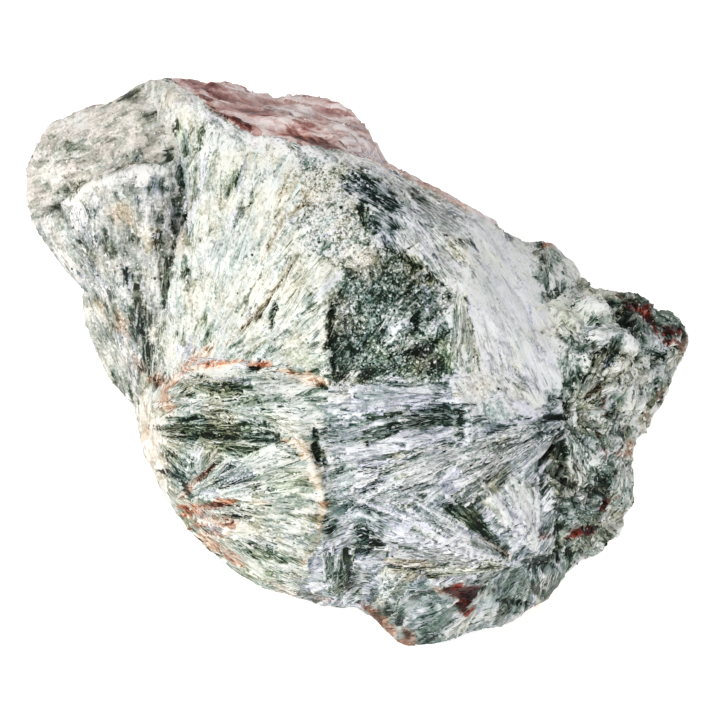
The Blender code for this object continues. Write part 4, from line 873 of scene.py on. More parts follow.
def paint(points, normals, table, middles):   # what every shader and every shape below reads, at each point
    shown = normals[:, 2] + raggedness["shownNoise"] * pattern("shownEdge", points) > raggedness["shownLimit"]
    index = np.zeros(len(points), int)
    index[shown] = shownIndex(points[shown], table)
    index[~shown] = hiddenIndex(points[~shown], middles) + len(shownFans)
    along, angle = placeInFan(points, table, index)
    side = angle * table["reference"][index]
    blade, within = bladeAt(along, angle, table, index)
    ragged = raggedness["stroke"] * pattern("strokeEdge", along, side, index)
    ragged += raggedness["fineStroke"] * pattern("fineStrokeEdge", points)
    places = points[:, :2]
    over = {name: drawn(places, lines, ragged, strokeEdges[name]) * shown for name, lines in strokes.items()}
    over["dark"] *= mottles["dark"]
    over["pale"] *= mottles["pale"]
    swell = drawn(places, swells, ragged * raggedness["swell"], strokeEdges["swell"], np.add) * shown
    keep = {key: table[key][index] for key in ("tone", "streak", "lift", "lilac", *plainFan)}
    fade, sooner = mottles["calmSpeck"]
    keep["speck"] *= 1 - fade * np.clip(sooner * np.maximum(over["pale"], over["dark"]), 0, 1)
    runTogether(keep, table, points, np.flatnonzero(shown & (index < firstFan)))
    seams = crumbledSeams(points) * shown * keep["crumb"]
    shade = keep["tone"] + mottles["wide"] * pattern("wideTone", points)
    shade += keep["rind"] * (mottles["rind"] * pattern("rindTone", points)
                             + mottles["rindGrain"] * pattern("fineRindTone", points))
    # the seams between crumbled pieces are darkened: painted shade in the gaps
    shade += keep["crust"] * mottles["crust"] * pattern("crustTone", along, side, 1) - mottles["seam"] * seams
    shade -= mottles["rust"] * over["rust"] + mottles["maroon"] * over["maroon"]
    crustPale = smoothStep(pattern("crustPale", along, side, 1), *mottles["crustPale"])
    lilac = np.maximum(np.maximum(keep["lilac"], over["lilac"]), keep["crust"] * crustPale)
    rust, tan, crust = hiddenDirt(points, ~shown)
    luck = chance(columns(blade, index, 0), chanceSeeds["bladeTone"])
    keep.update(
        over, index=index, along=along, angle=angle, side=side, blade=blade, within=within, shown=shown,
        shade=shade, bladeTone=(luck - 0.5) * mottles["blade"] * keep["streak"],
        rust=np.maximum(over["rust"], rust), tan=np.maximum(over["tan"], tan),
        crust=np.maximum(keep["crust"], crust), seams=seams, swell=swell,
        lilac=lilac - over["moss"])   # below nothing it is moss green
    return keep


# The stone's relief, in mm or as shares. chips are sizes and strengths, and facets are how many there are per
# mm along and across the fibres, and a height. shading is how strongly the relief paints shade into hollows
# and highlight onto ridges, in the tone.
relief = dict(blade=1.15, crest=0.7, bladeLeast=0.4, bladeRoot=2.5, calmRind=0.7, streak=0.10,
              fineStreak=0.06, streakLeast=0.35, grain=0.18, rindLumps=0.30, rindGrain=0.09,
              crustLayers=0.34, crustGrain=0.12, chips=((4.2, 0.62), (1.8, 0.24)), chipTilt=1.3,
              chipStep=0.22, leastCrumb=0.02, facets=(0.30, 0.85, 0.16), facetTilt=1.4, facetShift=5.3,
              facetLeast=0.4, crack=0.45, patch=0.15, seam=0.35, shading=0.75, shadingRounds=8,
              shadedCrack=0.1)


def luckOf(number, way, name):   # another number for each chip, from its own
    return chance(columns(number * 9999, way, 0), chanceSeeds[name]) - 0.5


def reliefHeight(points, painted):
    along, side, within, streak = (painted[key] for key in ("along", "side", "within", "streak"))
    crest = np.where(within < relief["crest"], within / relief["crest"], (1 - within) / (1 - relief["crest"]))
    fibrous = (1 - painted["crumb"]) * (1 - relief["calmRind"] * painted["rind"]) * (1 - painted["crust"])
    height = painted["lift"] * relief["blade"] * (relief["bladeLeast"] + crest)
    height = height * smoothStep(along, 0, relief["bladeRoot"]) * fibrous
    streaks = relief["streak"] * pattern("streak", along, side, painted["blade"])
    streaks = streaks + relief["fineStreak"] * pattern("fineStreak", along, side, painted["blade"])
    height += streaks * (relief["streakLeast"] + streak) * fibrous
    height += relief["grain"] * painted["speck"] * pattern("grain", points)
    height += painted["rind"] * (relief["rindLumps"] * pattern("rindLumps", points)
                                 + relief["rindGrain"] * pattern("rindGrain", points))
    height += painted["crust"] * (relief["crustLayers"] * pattern("crustLayers", along, side, 1)
                                  + relief["crustGrain"] * pattern("crustGrain", points))
    broken = np.flatnonzero(painted["crumb"] > relief["leastCrumb"])
    for size, share in relief["chips"]:
        gap, number = nearestChip(points[broken] / size, int(size * 10))
        tilt = columns(*(luckOf(number, way, "chipTilt") for way in (1, 2, 3)))
        chip = size * (relief["chipTilt"] * np.sum(tilt * gap, axis=1) + relief["chipStep"] * (number - 0.5))
        height[broken] += share * chip * painted["crumb"][broken]
    lengthwise, crosswise, step = relief["facets"]
    cells = columns(along * lengthwise, side * crosswise, painted["index"] * relief["facetShift"])
    gap, number = nearestChip(cells, chanceSeeds["facet"])
    facet = (number - 0.5) + relief["facetTilt"] * gap[:, 1] * luckOf(number, 4, "facetTilt")
    height += step * facet * (relief["facetLeast"] + streak) * fibrous
    height += painted["swell"]
    return (height - relief["crack"] * painted["crack"] - relief["patch"] * painted["dark"]
            - relief["seam"] * painted["seams"])


def softened(mesh, values, rounds):   # each point's value becomes its neighbours' mean, again and again
    here, there = readValues(mesh.edges, "vertices", 2, whole=True).T
    count = np.bincount(np.concatenate([here, there]), minlength=len(values))
    for _ in range(rounds):
        total = np.bincount(here, values[there], len(values)) + np.bincount(there, values[here], len(values))
        values = total / count
    return values


# Teeth of the rim: a tip (across, up, out) and how far around it the stone is drawn out to it, in mm
teeth = [((20.7, -21.8, -8.4), 2.4), ((27.3, -14.5, -7.4), 1.6), ((16.4, -25.4, -7.4), 1.4),
         ((32.9, 2.6, -8.4), 1.4)]
toothPull = 0.8   # how much of the way to its tip a tooth's middle goes


def drawnOut(points):
    for tip, reach in teeth:
        gap = np.linalg.norm(points - tip, axis=1)
        points = points + (tip - points) * (toothPull * (1 - smoothStep(gap, 0, reach)))[:, None]
    return points


# The stone itself
stoneShape = dict(merge=0.001 * mm, voxel=0.58 * mm, soften=3, softenAgain=1, finerBeyond=-0.05)


def makeStone():
    stone = linked(bpy.data.objects.new("stoneBody", frame["nodes"]["seraphinite"].data.copy()))
    stone.data.materials.clear()
    makeActive(stone)
    bpy.ops.object.mode_set(mode="EDIT")
    bpy.ops.mesh.select_all(action="SELECT")
    bpy.ops.mesh.remove_doubles(threshold=stoneShape["merge"])
    bpy.ops.object.mode_set(mode="OBJECT")
    applyModifier(stone, "even grid", "REMESH", mode="VOXEL", voxel_size=stoneShape["voxel"])
    applyModifier(stone, "soften", "SMOOTH", factor=0.5, iterations=stoneShape["soften"])
    outward = readValues(stone.data.polygons, "normal") @ faceAxes[2]
    stone.data.polygons.foreach_set("select", outward > stoneShape["finerBeyond"])
    makeActive(stone)
    bpy.ops.object.mode_set(mode="EDIT")
    bpy.ops.mesh.select_mode(type="FACE")
    bpy.ops.mesh.subdivide(number_cuts=1, smoothness=0)
    bpy.ops.object.mode_set(mode="OBJECT")
    applyModifier(stone, "soften again", "SMOOTH", factor=0.5, iterations=stoneShape["softenAgain"])
    bpy.ops.object.shade_smooth()
    return stone


# What the material reads from the meshes, in threes
paintLayers = dict(tone=("shade", "streak", "speck"), stain=("rust", "tan", "maroon"),
                   kind=("lilac", "rind", "crust"), mark=("dark", "pale", "crack"))
fibreShift = dict(fan=3.7, blade=1.3, lath=40, grain=90)   # keeps a fan's pattern from running on in the next


def storePaint(mesh, painted):
    for name, keys in paintLayers.items():
        storeNumbers(mesh, name, columns(*(painted[key] for key in keys)))


def facePlaces(data, name):   # places and normals in the face's frame
    return toFace(readValues(data, name)), readValues(data, "normal") @ faceAxes.T


def finishStone(stone):
    mesh = stone.data
    points, normals = facePlaces(mesh.vertices, "co")
    behind = normals[:, 2] < hiddenSide["facing"]
    hidden, middles = hiddenFans(points[behind], normals[behind])
    table = fanTable(shownFans + hidden)
    painted = paint(points, normals, table, middles)
    faces = paint(*facePlaces(mesh.polygons, "center"), table, middles)
    corners = readValues(mesh.loops, "vertex_index", 1, whole=True).ravel()
    cornerCounts = readValues(mesh.polygons, "loop_total", 1, whole=True).ravel()
    owners = np.repeat(np.arange(len(mesh.polygons)), cornerCounts)
    fan, blade = faces["index"][owners], faces["blade"][owners]
    along, angle = placeInFan(points[corners], table, fan)
    shift = fan * fibreShift["fan"] + blade * fibreShift["blade"]
    storeNumbers(mesh, "fibre", columns(along, angle * table["reference"][fan], shift), "CORNER")
    storeNumbers(mesh, "blade", faces["bladeTone"], "FACE")
    height = reliefHeight(points, painted)
    # painted shade and highlight: the tone darkens where the relief lies below its surroundings and lightens
    # where it rises above them, outside the cracks
    reliefForPaintedShade = height - softened(mesh, height, relief["shadingRounds"])
    painted["shade"] += relief["shading"] * reliefForPaintedShade * (painted["crack"] < relief["shadedCrack"])
    storePaint(mesh, painted)
    moved = drawnOut(points + normals * height[:, None])
    mesh.vertices.foreach_set("co", toWorld(moved).astype(np.float32).ravel())
    mesh.update()
    return table, middles


def unit(vectors):
    return vectors / np.maximum(np.linalg.norm(vectors, axis=1), 1e-9)[:, None]


def surfaceOf(stone):   # the finished stone's triangles, in the face's frame, to lay small pieces on
    points, normals = facePlaces(stone.data.vertices, "co")
    triangles = trianglesOf(stone.data)
    a, b, c = (points[triangles[:, k]] for k in range(3))
    return dict(centres=(a + b + c) / 3, normals=unit(normals[triangles].mean(axis=1)),
                area=np.linalg.norm(np.cross(b - a, c - a), axis=1) / 2,
                tree=BVHTree.FromPolygons(points.tolist(), triangles.tolist()))


# Small pieces: fibres that lie on the fans, splinters in the crumbled right side, and grains. Each kind is
# modelled once and copied. Lengths, widths and heights are in mm, turns in degrees.
fibreSets = {
    "fibresLong": dict(seed=3, count=10000, length=(1.6, 6.0), lengthBias=1.5, width=(0.10, 0.32),
                       height=(0.01, 0.07), sink=0.10, tilt=0.003, turn=4.0, toneSpread=0.07, darkShare=0.05),
    "fibresShort": dict(seed=4, count=10000, length=(0.7, 2.8), lengthBias=1.2, width=(0.09, 0.26),
                        height=(0.01, 0.07), sink=0.08, tilt=0.004, turn=8.0, toneSpread=0.08,
                        darkShare=0.07),
    "splinters": dict(seed=5, count=1200, length=(1.0, 3.4), lengthBias=1.0, width=(0.3, 1.0),
                      height=(0.04, 0.22), sink=0.25, tilt=0.03, turn=22.0, toneSpread=0.08, darkShare=0.06),
}
lathShape = dict(cuts=(-0.28, 0.08, 0.34), ends=(-0.5, 0.5), tips=0.45, tipSink=0.6, skew=0.42,
                 stations=(-0.45, -0.15, 0.15, 0.45), nearRoot=(0.5, 0.42), cutShort=(0.5, 0.6),
                 toneLeast=0.35, darker=(-0.38, 0.1))
grainShape = dict(seed=6, count=9000, size=(0.10, 0.32), stretch=(0.6, 1.5), jitter=(0.8, 1.2), rise=0.05,
                  toneSpread=0.16, paleShare=0.30, paler=0.40)
sown = dict(streakPower=1.5, shortLeast=0.05, splinterLeast=0.02, calmCrumb=0.7, calmLoose=0.8,
            hiddenShare=0.45, grainBeyond=0.2, grainCrumb=0.15)   # where they lie


def modelledTemplate(item):   # the points and triangles of a small piece modelled once, which is then removed
    mesh = item.data
    points, triangles = readValues(mesh.vertices, "co"), trianglesOf(mesh)
    bpy.data.objects.remove(item)
    bpy.data.meshes.remove(mesh)
    return points, triangles


def lathTemplate():   # along X, 1 long and 1 wide, with a ridge 1 high and pointed ends
    deselectAll()
    bpy.ops.mesh.primitive_cylinder_add(vertices=3, radius=1, depth=1, rotation=(math.pi / 2, 0, math.pi / 2))
    lath = bpy.context.active_object
    bpy.ops.object.transform_apply(location=False, rotation=True, scale=True)
    bpy.ops.object.mode_set(mode="EDIT")
    for place in lathShape["cuts"]:
        bpy.ops.mesh.select_all(action="SELECT")
        bpy.ops.mesh.bisect(plane_co=(place, 0, 0), plane_no=(1, 0, 0))
    for end in lathShape["ends"]:
        bpy.ops.mesh.select_mode(type="VERT")
        bpy.ops.mesh.select_all(action="DESELECT")
        bpy.ops.object.mode_set(mode="OBJECT")
        for vertex in lath.data.vertices:
            vertex.select = abs(vertex.co.x - end) < 0.01
        bpy.ops.object.mode_set(mode="EDIT")
        bpy.ops.mesh.merge(type="CENTER")
    bpy.ops.object.mode_set(mode="OBJECT")
    points, triangles = modelledTemplate(lath)
    rings = np.abs(points[:, 0]) < lathShape["tips"]
    bottom = points[rings, 2].min()
    points[:, 1] /= np.ptp(points[rings, 1])
    points[:, 2] = (points[:, 2] - bottom) / (points[rings, 2].max() - bottom)
    return points, triangles


def grainTemplate():   # a small angular grain, 1 across
    deselectAll()
    bpy.ops.mesh.primitive_ico_sphere_add(subdivisions=1, radius=0.5)
    return modelledTemplate(bpy.context.active_object)


def between(luck, limits, count):   # evenly by ratio, so that small ones are as common as large ones
    return limits[0] * (limits[1] / limits[0]) ** luck.rand(count)


def sownPlaces(surface, luck, weight, count, table, middles):   # where each lies, and the way of its fibres
    picks = np.searchsorted(np.cumsum(weight), luck.rand(count) * weight.sum())
    centre, normal = surface["centres"][picks], surface["normals"][picks]
    painted = paint(centre, normal, table, middles)
    index, angle = painted["index"], painted["angle"][:, None]
    ahead = table["ahead"][index] * np.cos(angle) + table["aside"][index] * np.sin(angle)
    return painted, centre, normal, unit(ahead - np.sum(ahead * normal, axis=1)[:, None] * normal)


def laid(surface, centre, ahead, length, stations):   # a smooth arc through the surface below each lath
    ways = centre[:, None] + ahead[:, None] * (stations[None, :, None] * length[:, None, None])
    found = np.array([surface["tree"].find_nearest(place)[0] for place in ways.reshape(-1, 3).tolist()])
    powers = np.stack([np.ones_like(stations), stations, stations ** 2], axis=1)
    return np.einsum("ks,nsc->nkc", np.linalg.pinv(powers), found.reshape(ways.shape))


def joinCopies(name, points, triangles, fibre, tone, painted):   # many copies of a template, as one mesh
    count, each = points.shape[:2]
    starts = (np.arange(count) * each)[:, None, None]
    made = joinedMesh(name, toWorld(points.reshape(-1, 3)), (triangles[None] + starts).reshape(-1, 3))
    storeNumbers(made.data, "fibre", fibre)
    storeNumbers(made.data, "blade", np.repeat(tone, each))
    storePaint(made.data, {key: np.repeat(value, each) for key, value in painted.items()})
    print(f"{name}: {count} pieces, {len(made.data.polygons)} triangles")
    return made


def buildLaths(name, surface, table, middles, weight):
    values = fibreSets[name]
    luck = np.random.RandomState(values["seed"])
    count = values["count"]
    template, triangles = lathTemplate()
    painted, centre, normal, ahead = sownPlaces(surface, luck, weight, count, table, middles)
    turn = np.radians(luck.normal(size=count) * values["turn"])
    ahead = ahead * np.cos(turn)[:, None] + np.cross(normal, ahead) * np.sin(turn)[:, None]
    shortest, longest = values["length"]
    least, growth = lathShape["nearRoot"]
    longest = np.minimum(longest, least + growth * painted["along"])
    length = shortest + (longest - shortest) * luck.rand(count) ** values["lengthBias"]
    for share in lathShape["cutShort"]:   # a lath that would leave its fan is cut short
        leaves = np.zeros(count, bool)
        for end in lathShape["ends"]:
            tip = centre + ahead * (length * end)[:, None]
            leaves |= painted["shown"] & (shownIndex(tip, table) != painted["index"])
        length = np.where(leaves, length * share, length)
    width = between(luck, values["width"], count)
    height = values["height"][0] + (values["height"][1] - values["height"][0]) * luck.rand(count)
    arcs = laid(surface, centre, ahead, length, np.array(lathShape["stations"]))
    skew = luck.uniform(-lathShape["skew"], lathShape["skew"], count)
    tilt = luck.normal(size=count) * values["tilt"] * length
    sink = values["sink"]
    x, y, z = template.T[:, None]
    spine = arcs[:, 0, None] + arcs[:, 1, None] * x[..., None] + arcs[:, 2, None] * x[..., None] ** 2
    way = unit(arcs[:, 1])
    aside = unit(np.cross(normal, way))
    across = (y + z * skew[:, None]) * width[:, None]
    rise = z * (height + sink)[:, None] - sink + tilt[:, None] * x
    rise = np.where(np.abs(x) > lathShape["tips"], -sink * lathShape["tipSink"] + tilt[:, None] * x, rise)
    points = spine + aside[:, None] * across[..., None] + np.cross(way, aside)[:, None] * rise[..., None]
    shift = luck.normal(size=count) * values["toneSpread"] * (lathShape["toneLeast"] + painted["streak"])
    slope, base = lathShape["darker"]
    shift = np.where(luck.rand(count) < values["darkShare"], slope * painted["streak"] - base, shift)
    seed = painted["index"] * fibreShift["fan"] + luck.rand(count) * fibreShift["lath"]
    lengthwise = painted["along"][:, None] + x * length[:, None]
    fibre = columns(lengthwise.ravel(), across.ravel(), np.repeat(seed, len(template)))
    return joinCopies(name, points, triangles, fibre, painted["bladeTone"] + shift, painted)


def buildGrains(name, surface, table, middles, weight):
    values = grainShape
    luck = np.random.RandomState(values["seed"])
    count = values["count"]
    template, triangles = grainTemplate()
    painted, centre, normal, _ = sownPlaces(surface, luck, weight, count, table, middles)
    size = between(luck, values["size"], count)
    stretch = luck.uniform(*values["stretch"], (count, 3))
    frames = np.linalg.qr(luck.normal(size=(count, 3, 3)))[0]
    jitter = luck.uniform(*values["jitter"], (count, len(template), 1))
    points = template[None] * jitter * stretch[:, None] * size[:, None, None]
    points = np.einsum("nkc,ncd->nkd", points, frames) + centre[:, None]
    points += (normal * (size * values["rise"])[:, None])[:, None]
    # some grains are paler: white specks, painted bright as sparkle highlights on the dark ground
    shift = luck.normal(size=count) * values["toneSpread"]
    shift += values["paler"] * (luck.rand(count) < values["paleShare"])
    seed = np.repeat(luck.rand(count) * fibreShift["grain"], len(template))
    fibre = columns(points[..., 0].ravel(), points[..., 1].ravel(), seed)
    return joinCopies(name, points, triangles, fibre, shift, painted)


def makeSmallPieces(stone, table, middles):
    surface = surfaceOf(stone)
    painted = paint(surface["centres"], surface["normals"], table, middles)
    calm = (1 - painted["rind"]) * (1 - painted["crust"]) * (1 - sown["calmCrumb"] * painted["crumb"])
    calm = calm * (1 - sown["calmLoose"] * painted["loose"])
    streak = painted["streak"] ** sown["streakPower"]
    weights = dict(
        fibresLong=streak * calm, fibresShort=(streak + sown["shortLeast"]) * calm,
        splinters=painted["crumb"] + sown["splinterLeast"] * painted["shown"],
        grains=np.maximum(painted["speck"] - sown["grainBeyond"], 0) + sown["grainCrumb"] * painted["crumb"])
    share = np.where(painted["shown"], 1.0, sown["hiddenShare"])
    return [(buildLaths if name in fibreSets else buildGrains)(name, surface, table, middles,
                                                               weight * share * surface["area"])
            for name, weight in weights.items()]


# The stone's one material: every colour is a ramp from dark to pale, and the paint says which and how pale
stoneColours = dict(   # as 0 to 255
    green=[(8, 20, 10), (36, 64, 44), (102, 124, 106), (160, 171, 161), (209, 213, 206), (233, 235, 230)],
    cream=[(20, 22, 12), (66, 70, 44), (132, 131, 104), (182, 178, 154), (220, 216, 200), (237, 235, 223)],
    moss=[(12, 26, 8), (48, 68, 34), (108, 126, 86), (160, 176, 140), (206, 216, 194), (231, 235, 219)],
    teal=[(8, 24, 24), (44, 72, 70), (108, 134, 130), (158, 176, 173), (204, 216, 213), (230, 236, 234)],
    lilac=[(8, 20, 16), (42, 62, 58), (106, 121, 126), (166, 170, 184), (212, 213, 225), (232, 233, 241)],
    rind=[(60, 62, 52), (108, 107, 96), (152, 147, 137), (190, 184, 175), (220, 211, 203), (241, 234, 228)],
    tan=[(60, 45, 30), (116, 92, 64), (176, 150, 116), (212, 190, 158), (236, 222, 200), (250, 242, 230)],
    rust=[(38, 14, 8), (104, 44, 24), (164, 86, 54), (210, 142, 104), (238, 202, 174), (248, 234, 220)],
    crust=[(84, 46, 44), (128, 78, 74), (165, 118, 112), (196, 158, 153), (222, 200, 196), (240, 228, 226)],
    maroon=[(24, 5, 3), (58, 13, 8), (104, 32, 20), (146, 62, 45), (184, 116, 98), (216, 180, 170)],
)
stoneNoises = dict(   # what each lies on, its repeats per mm, how far it is shifted, its detail and roughness
    fine=("turned", (0.55, 3.3), 0.0, 3.0, 0.6), broad=("fibre", (0.14, 1.25), 17.0, 2.0, 0.55),
    mottle=("fibre", (0.40, 0.90), 53.0, 2.0, 0.55), thread=("turned", (0.55, 2.8), 71.0, 1.0, 0.55),
    grain=("stone", 3.0, 0.0, 3.0, 0.7), hue=("stone", 0.22, 5.0, 2.0, 0.55),
    hueStreak=("fibre", (0.22, 0.9), 87.0, 2.0, 0.55), patch=("stone", 0.5, 31.0, 2.0, 0.55))
stoneRanges = dict(   # each turns a value between the first two numbers into one between the last two
    fissure=(0.33, 0.42, 0.20, 0.0), glint=(0.58, 0.68, 0.0, 0.09), feather=(0.86, 1.14, 1.8, 0.2),
    calmCrust=(0.0, 1.0, 1.0, 0.2), weathered=(0.0, 1.0, 1.0, 0.45), crack=(0.35, 0.65, 1.3, 0.6),
    cream=(0.42, 0.62, 0.0, 0.85), teal=(0.52, 0.66, 0.0, 0.75), moss=(0.36, 0.62, -1.6, -0.5),
    rind=(0.36, 0.56, 0.45, 1.0), lilac=(0.36, 0.62, 1.35, 0.35), rust=(0.34, 0.58, 0.35, 1.35),
    roughness=(0.0, 0.7, 0.38, 0.55))
stoneFinish = dict(
    waves=((0.32, 1.5), (1.2, 0.34)), bundle=(0.24, 0.70), bundleTurn=0.40, block=(0.7, 1.0),
    fineShare=0.52, broadShare=0.70, mottleShare=0.82, blockShare=0.40, bundleShare=0.52, speckShare=1.7,
    blockByStreak=(-0.7, 1.1), mottleByStreak=(0.5, 0.26), rindWeather=0.6, leastSpeck=0.08, paleFeather=2.0,
    crustByLilac=(-0.6, 1.0), bumpGrain=0.5, bump=0.11 * mm, bumpStrength=0.9, specular=0.12)

material = bpy.data.materials.new("silvery green feathered stone")
material.use_nodes = True
tree = material.node_tree


def toLinear(colour):
    values = np.array(colour, float) / 255
    values = np.where(values <= 0.04045, values / 12.92, ((values + 0.055) / 1.055) ** 2.4)
    return (*values, 1.0)


def addNode(kind, inputs, **settings):
    made = tree.nodes.new("ShaderNode" + kind)
    for key, value in settings.items():
        setattr(made, key, value)
    for place, value in inputs.items():
        if isinstance(value, bpy.types.NodeSocket):
            tree.links.new(value, made.inputs[place])
        else:
            made.inputs[place].default_value = value
    return made.outputs


def calculate(operation, *values, clamp=False):
    return addNode("Math", dict(enumerate(values)), operation=operation, use_clamp=clamp)[0]


def vectorMath(operation, first, second):
    return addNode("VectorMath", {0: first, 1: second}, operation=operation)[0]


def separated(vector):
    return addNode("SeparateXYZ", {0: vector})


def attribute(name, output):
    return addNode("Attribute", {}, attribute_name=name)[output]


def colourRamp(factor, colours):
    outputs = addNode("ValToRGB", {0: factor})
    stops = outputs[0].node.color_ramp.elements
    for number, colour in enumerate(colours):
        place = number / (len(colours) - 1)
        stop = stops[number] if number < 1 else stops.new(place) if number < len(colours) - 1 else stops[-1]
        stop.position = place
        stop.color = toLinear(colour)
    return outputs[0]


def mixColours(factor, first, second):
    return addNode("Mix", {0: factor, 6: first, 7: second}, data_type="RGBA")[2]


def mapped(vector, scales, offset=0.0):
    return addNode("Mapping", {0: vector, 1: (offset,) * 3, 3: scales})[0]


def cellsOn(vector, **settings):
    return addNode("TexVoronoi", {0: vector, "Scale": 1.0}, **settings)


def about(noise, share):   # a noise as a shift around nothing
    return calculate("MULTIPLY", calculate("SUBTRACT", noise, 0.5), share * 2)


def ranged(value, name):
    return addNode("MapRange", dict(enumerate((value, *stoneRanges[name]))))[0]


def paintMaterial():
    values = stoneFinish
    shader = tree.nodes["Principled BSDF"]
    fibre = attribute("fibre", "Vector")
    (shade, streak, speck), (rust, tan, maroon), (lilac, rind, crust), (dark, pale, crack) = (
        separated(attribute(name, "Vector")) for name in paintLayers)
    blade = attribute("blade", "Fac")
    place = addNode("TexCoord", {})["Object"]
    for scale, size in values["waves"]:   # fibres that aren't dead straight
        wander = addNode("TexNoise", {0: place, "Scale": scale / mm, "Detail": 1.0})[1]
        wander = vectorMath("SUBTRACT", wander, (0.5, 0.5, 0.5))
        fibre = vectorMath("ADD", fibre, vectorMath("MULTIPLY", wander, (0.0, size, 0.0)))
    lengthwise, crosswise = values["bundle"]   # each bundle of fibres turns its own way
    bundles = cellsOn(mapped(fibre, (lengthwise, crosswise, 1)))
    middle = mapped(bundles["Position"], (1 / lengthwise, 1 / crosswise, 1))
    bundleLuck = separated(bundles["Color"])
    turned = addNode("VectorRotate", {"Vector": fibre, "Center": middle, "Angle": about(
        bundleLuck[0], values["bundleTurn"] / 2)}, rotation_type="Z_AXIS")[0]
    noise = {}
    for name, (source, scales, offset, detail, roughness) in stoneNoises.items():
        scales = (scales / mm,) * 3 if source == "stone" else (*scales, 1)
        vector = mapped(dict(turned=turned, fibre=fibre, stone=place)[source], scales, offset)
        noise[name] = addNode("TexNoise", {
            0: vector, "Scale": 1.0, "Detail": detail, "Roughness": roughness})[0]
    block = separated(cellsOn(mapped(fibre, (*values["block"], 1)), distance="CHEBYCHEV")["Color"])[0]
    fineStreaks = about(noise["fine"], values["fineShare"])
    streaks = calculate("ADD", fineStreaks, about(noise["broad"], values["broadShare"]))
    streaks = calculate("ADD", streaks, about(bundleLuck[1], values["bundleShare"] / 2))
    streaks = calculate("SUBTRACT", streaks, ranged(noise["thread"], "fissure"))
    streaks = calculate("ADD", streaks, ranged(noise["thread"], "glint"))
    feather = ranged(calculate("ADD", noise["fine"], noise["broad"]), "feather")
    level = calculate("ADD", shade, blade)
    level = calculate("MULTIPLY_ADD", streaks, streak, level)
    blocks = calculate("MULTIPLY_ADD", streak, *values["blockByStreak"])
    blocks = calculate("MULTIPLY", blocks, ranged(crust, "calmCrust"))
    level = calculate("MULTIPLY_ADD", about(block, values["blockShare"] / 2), blocks, level)
    weathered = calculate("MAXIMUM", calculate("MULTIPLY", rind, values["rindWeather"]), crust)
    mottled = calculate("MULTIPLY_ADD", streak, *values["mottleByStreak"])
    mottled = calculate("MULTIPLY", mottled, ranged(weathered, "weathered"))
    level = calculate("MULTIPLY_ADD", about(noise["mottle"], values["mottleShare"]), mottled, level)
    level = calculate("MULTIPLY_ADD", about(noise["grain"], values["speckShare"]),
                      calculate("ADD", speck, values["leastSpeck"]), level)
    level = calculate("SUBTRACT", level, calculate("MULTIPLY", dark, feather))
    level = calculate("MULTIPLY_ADD", pale, calculate("SUBTRACT", values["paleFeather"], feather), level)
    # cracks are darkened: partly painted shade in them
    level = calculate("SUBTRACT", level, calculate("MULTIPLY", crack, ranged(noise["fine"], "crack")))
    level = calculate("MAXIMUM", calculate("MINIMUM", level, 1.0), 0.0)
    ramps = {name: colourRamp(level, colours) for name, colours in stoneColours.items()}
    colour = mixColours(ranged(noise["hue"], "cream"), ramps["green"], ramps["cream"])
    colour = mixColours(ranged(noise["hueStreak"], "teal"), colour, ramps["teal"])
    mossShare = calculate("MULTIPLY", lilac, ranged(noise["hueStreak"], "moss"), clamp=True)
    colour = mixColours(mossShare, colour, ramps["moss"])
    colour = mixColours(calculate("MULTIPLY", rind, ranged(noise["patch"], "rind")), colour, ramps["rind"])
    lilacShare = calculate("MULTIPLY", lilac, ranged(noise["hueStreak"], "lilac"), clamp=True)
    colour = mixColours(lilacShare, colour, ramps["lilac"])
    crustShare = calculate("MULTIPLY", crust, calculate("MULTIPLY_ADD", lilacShare, *values["crustByLilac"]))
    colour = mixColours(crustShare, colour, ramps["crust"])
    colour = mixColours(tan, colour, ramps["tan"])
    rustShare = calculate("MULTIPLY", rust, ranged(noise["fine"], "rust"), clamp=True)
    colour = mixColours(rustShare, colour, ramps["rust"])
    colour = mixColours(maroon, colour, ramps["maroon"])
    height = calculate("MULTIPLY_ADD", noise["grain"], values["bumpGrain"], noise["fine"])
    bump = addNode("Bump", {
        "Strength": values["bumpStrength"], "Distance": values["bump"], "Height": height})[0]
    shader.inputs["Specular IOR Level"].default_value = values["specular"]
    for name, value in (("Base Color", colour), ("Roughness", ranged(level, "roughness")), ("Normal", bump)):
        tree.links.new(value, shader.inputs[name])


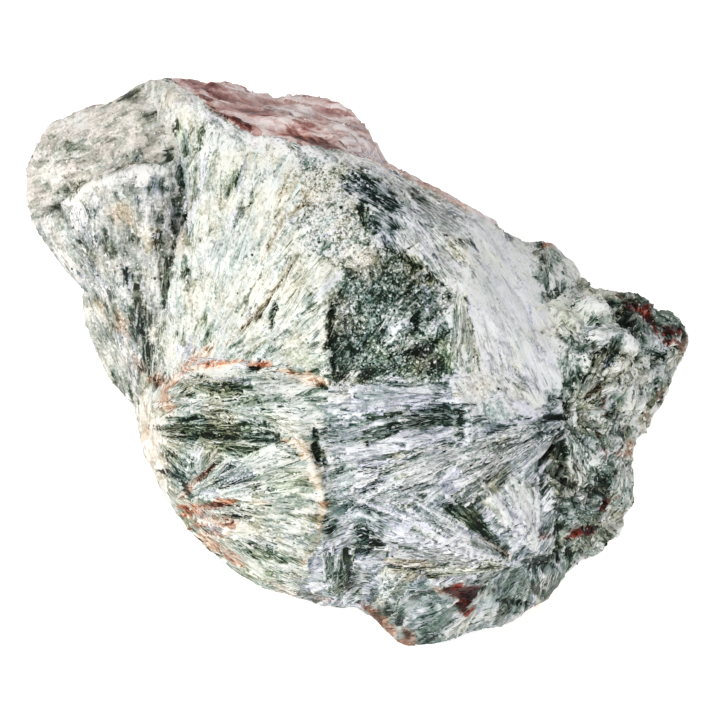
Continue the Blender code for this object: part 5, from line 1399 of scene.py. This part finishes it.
# Camera, floor and light, as in a plain studio
view = dict(distance=3.0, frameWidth=0.072, near=0.1, far=20)
studio = dict(
    floorSize=6.0, floorShade=0.9, floorRoughness=0.9, floorGlow=0.56, sky=0.56, aim=(0, 0, 0.02),
    lights={"key light": dict(place=(-0.55, -0.35, 0.75), size=0.30, power=5.4),
            "fill light": dict(place=(0.6, -0.6, 0.45), size=0.6, power=0.9)})


def makeCamera():
    data = bpy.data.cameras.new("camera")
    data.lens = data.sensor_width * view["distance"] / view["frameWidth"]
    data.clip_start = view["near"]
    data.clip_end = view["far"]
    data.dof.use_dof = False
    camera = linked(bpy.data.objects.new("camera", data))
    camera.location = Vector(faceMiddle * mm) + Vector(faceAxes[2]) * view["distance"]
    camera.rotation_euler = (math.radians(90 - faceLean), 0, 0)
    bpy.context.scene.camera = camera


def makeStudio():
    deselectAll()
    bpy.ops.mesh.primitive_plane_add(size=studio["floorSize"], location=(0, 0, 0))
    floor = bpy.context.active_object
    floor.name = "floor"
    paper = bpy.data.materials.new("pale floor")
    paper.use_nodes = True
    inputs = paper.node_tree.nodes["Principled BSDF"].inputs
    inputs["Base Color"].default_value = (*(studio["floorShade"],) * 3, 1)
    inputs["Roughness"].default_value = studio["floorRoughness"]
    inputs["Emission Color"].default_value = (1, 1, 1, 1)
    inputs["Emission Strength"].default_value = studio["floorGlow"]
    floor.data.materials.append(paper)
    world = bpy.data.worlds.new("soft white room")
    world.use_nodes = True
    background = world.node_tree.nodes["Background"].inputs
    background["Color"].default_value = (1, 1, 1, 1)
    background["Strength"].default_value = studio["sky"]
    bpy.context.scene.world = world
    for name, light in studio["lights"].items():
        data = bpy.data.lights.new(name, "AREA")
        data.energy = light["power"]
        data.size = light["size"]
        lamp = linked(bpy.data.objects.new(name, data))
        lamp.location = light["place"]
        lamp.rotation_euler = (Vector(studio["aim"]) - lamp.location).to_track_quat("-Z", "Y").to_euler()
    bpy.context.scene.view_settings.view_transform = "Standard"


makeCamera()
makeStudio()
print("camera and studio are set")
stone = makeStone()
print(f"stone blank: {len(stone.data.vertices)} points, {len(stone.data.polygons)} faces")
table, middles = finishStone(stone)
print("stone relief and paint are done")
paintMaterial()
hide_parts("seraphinite")
for piece in [stone] + makeSmallPieces(stone, table, middles):
    piece.data.materials.append(material)
    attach(piece, "root")
print("small pieces are laid")

deselectAll()
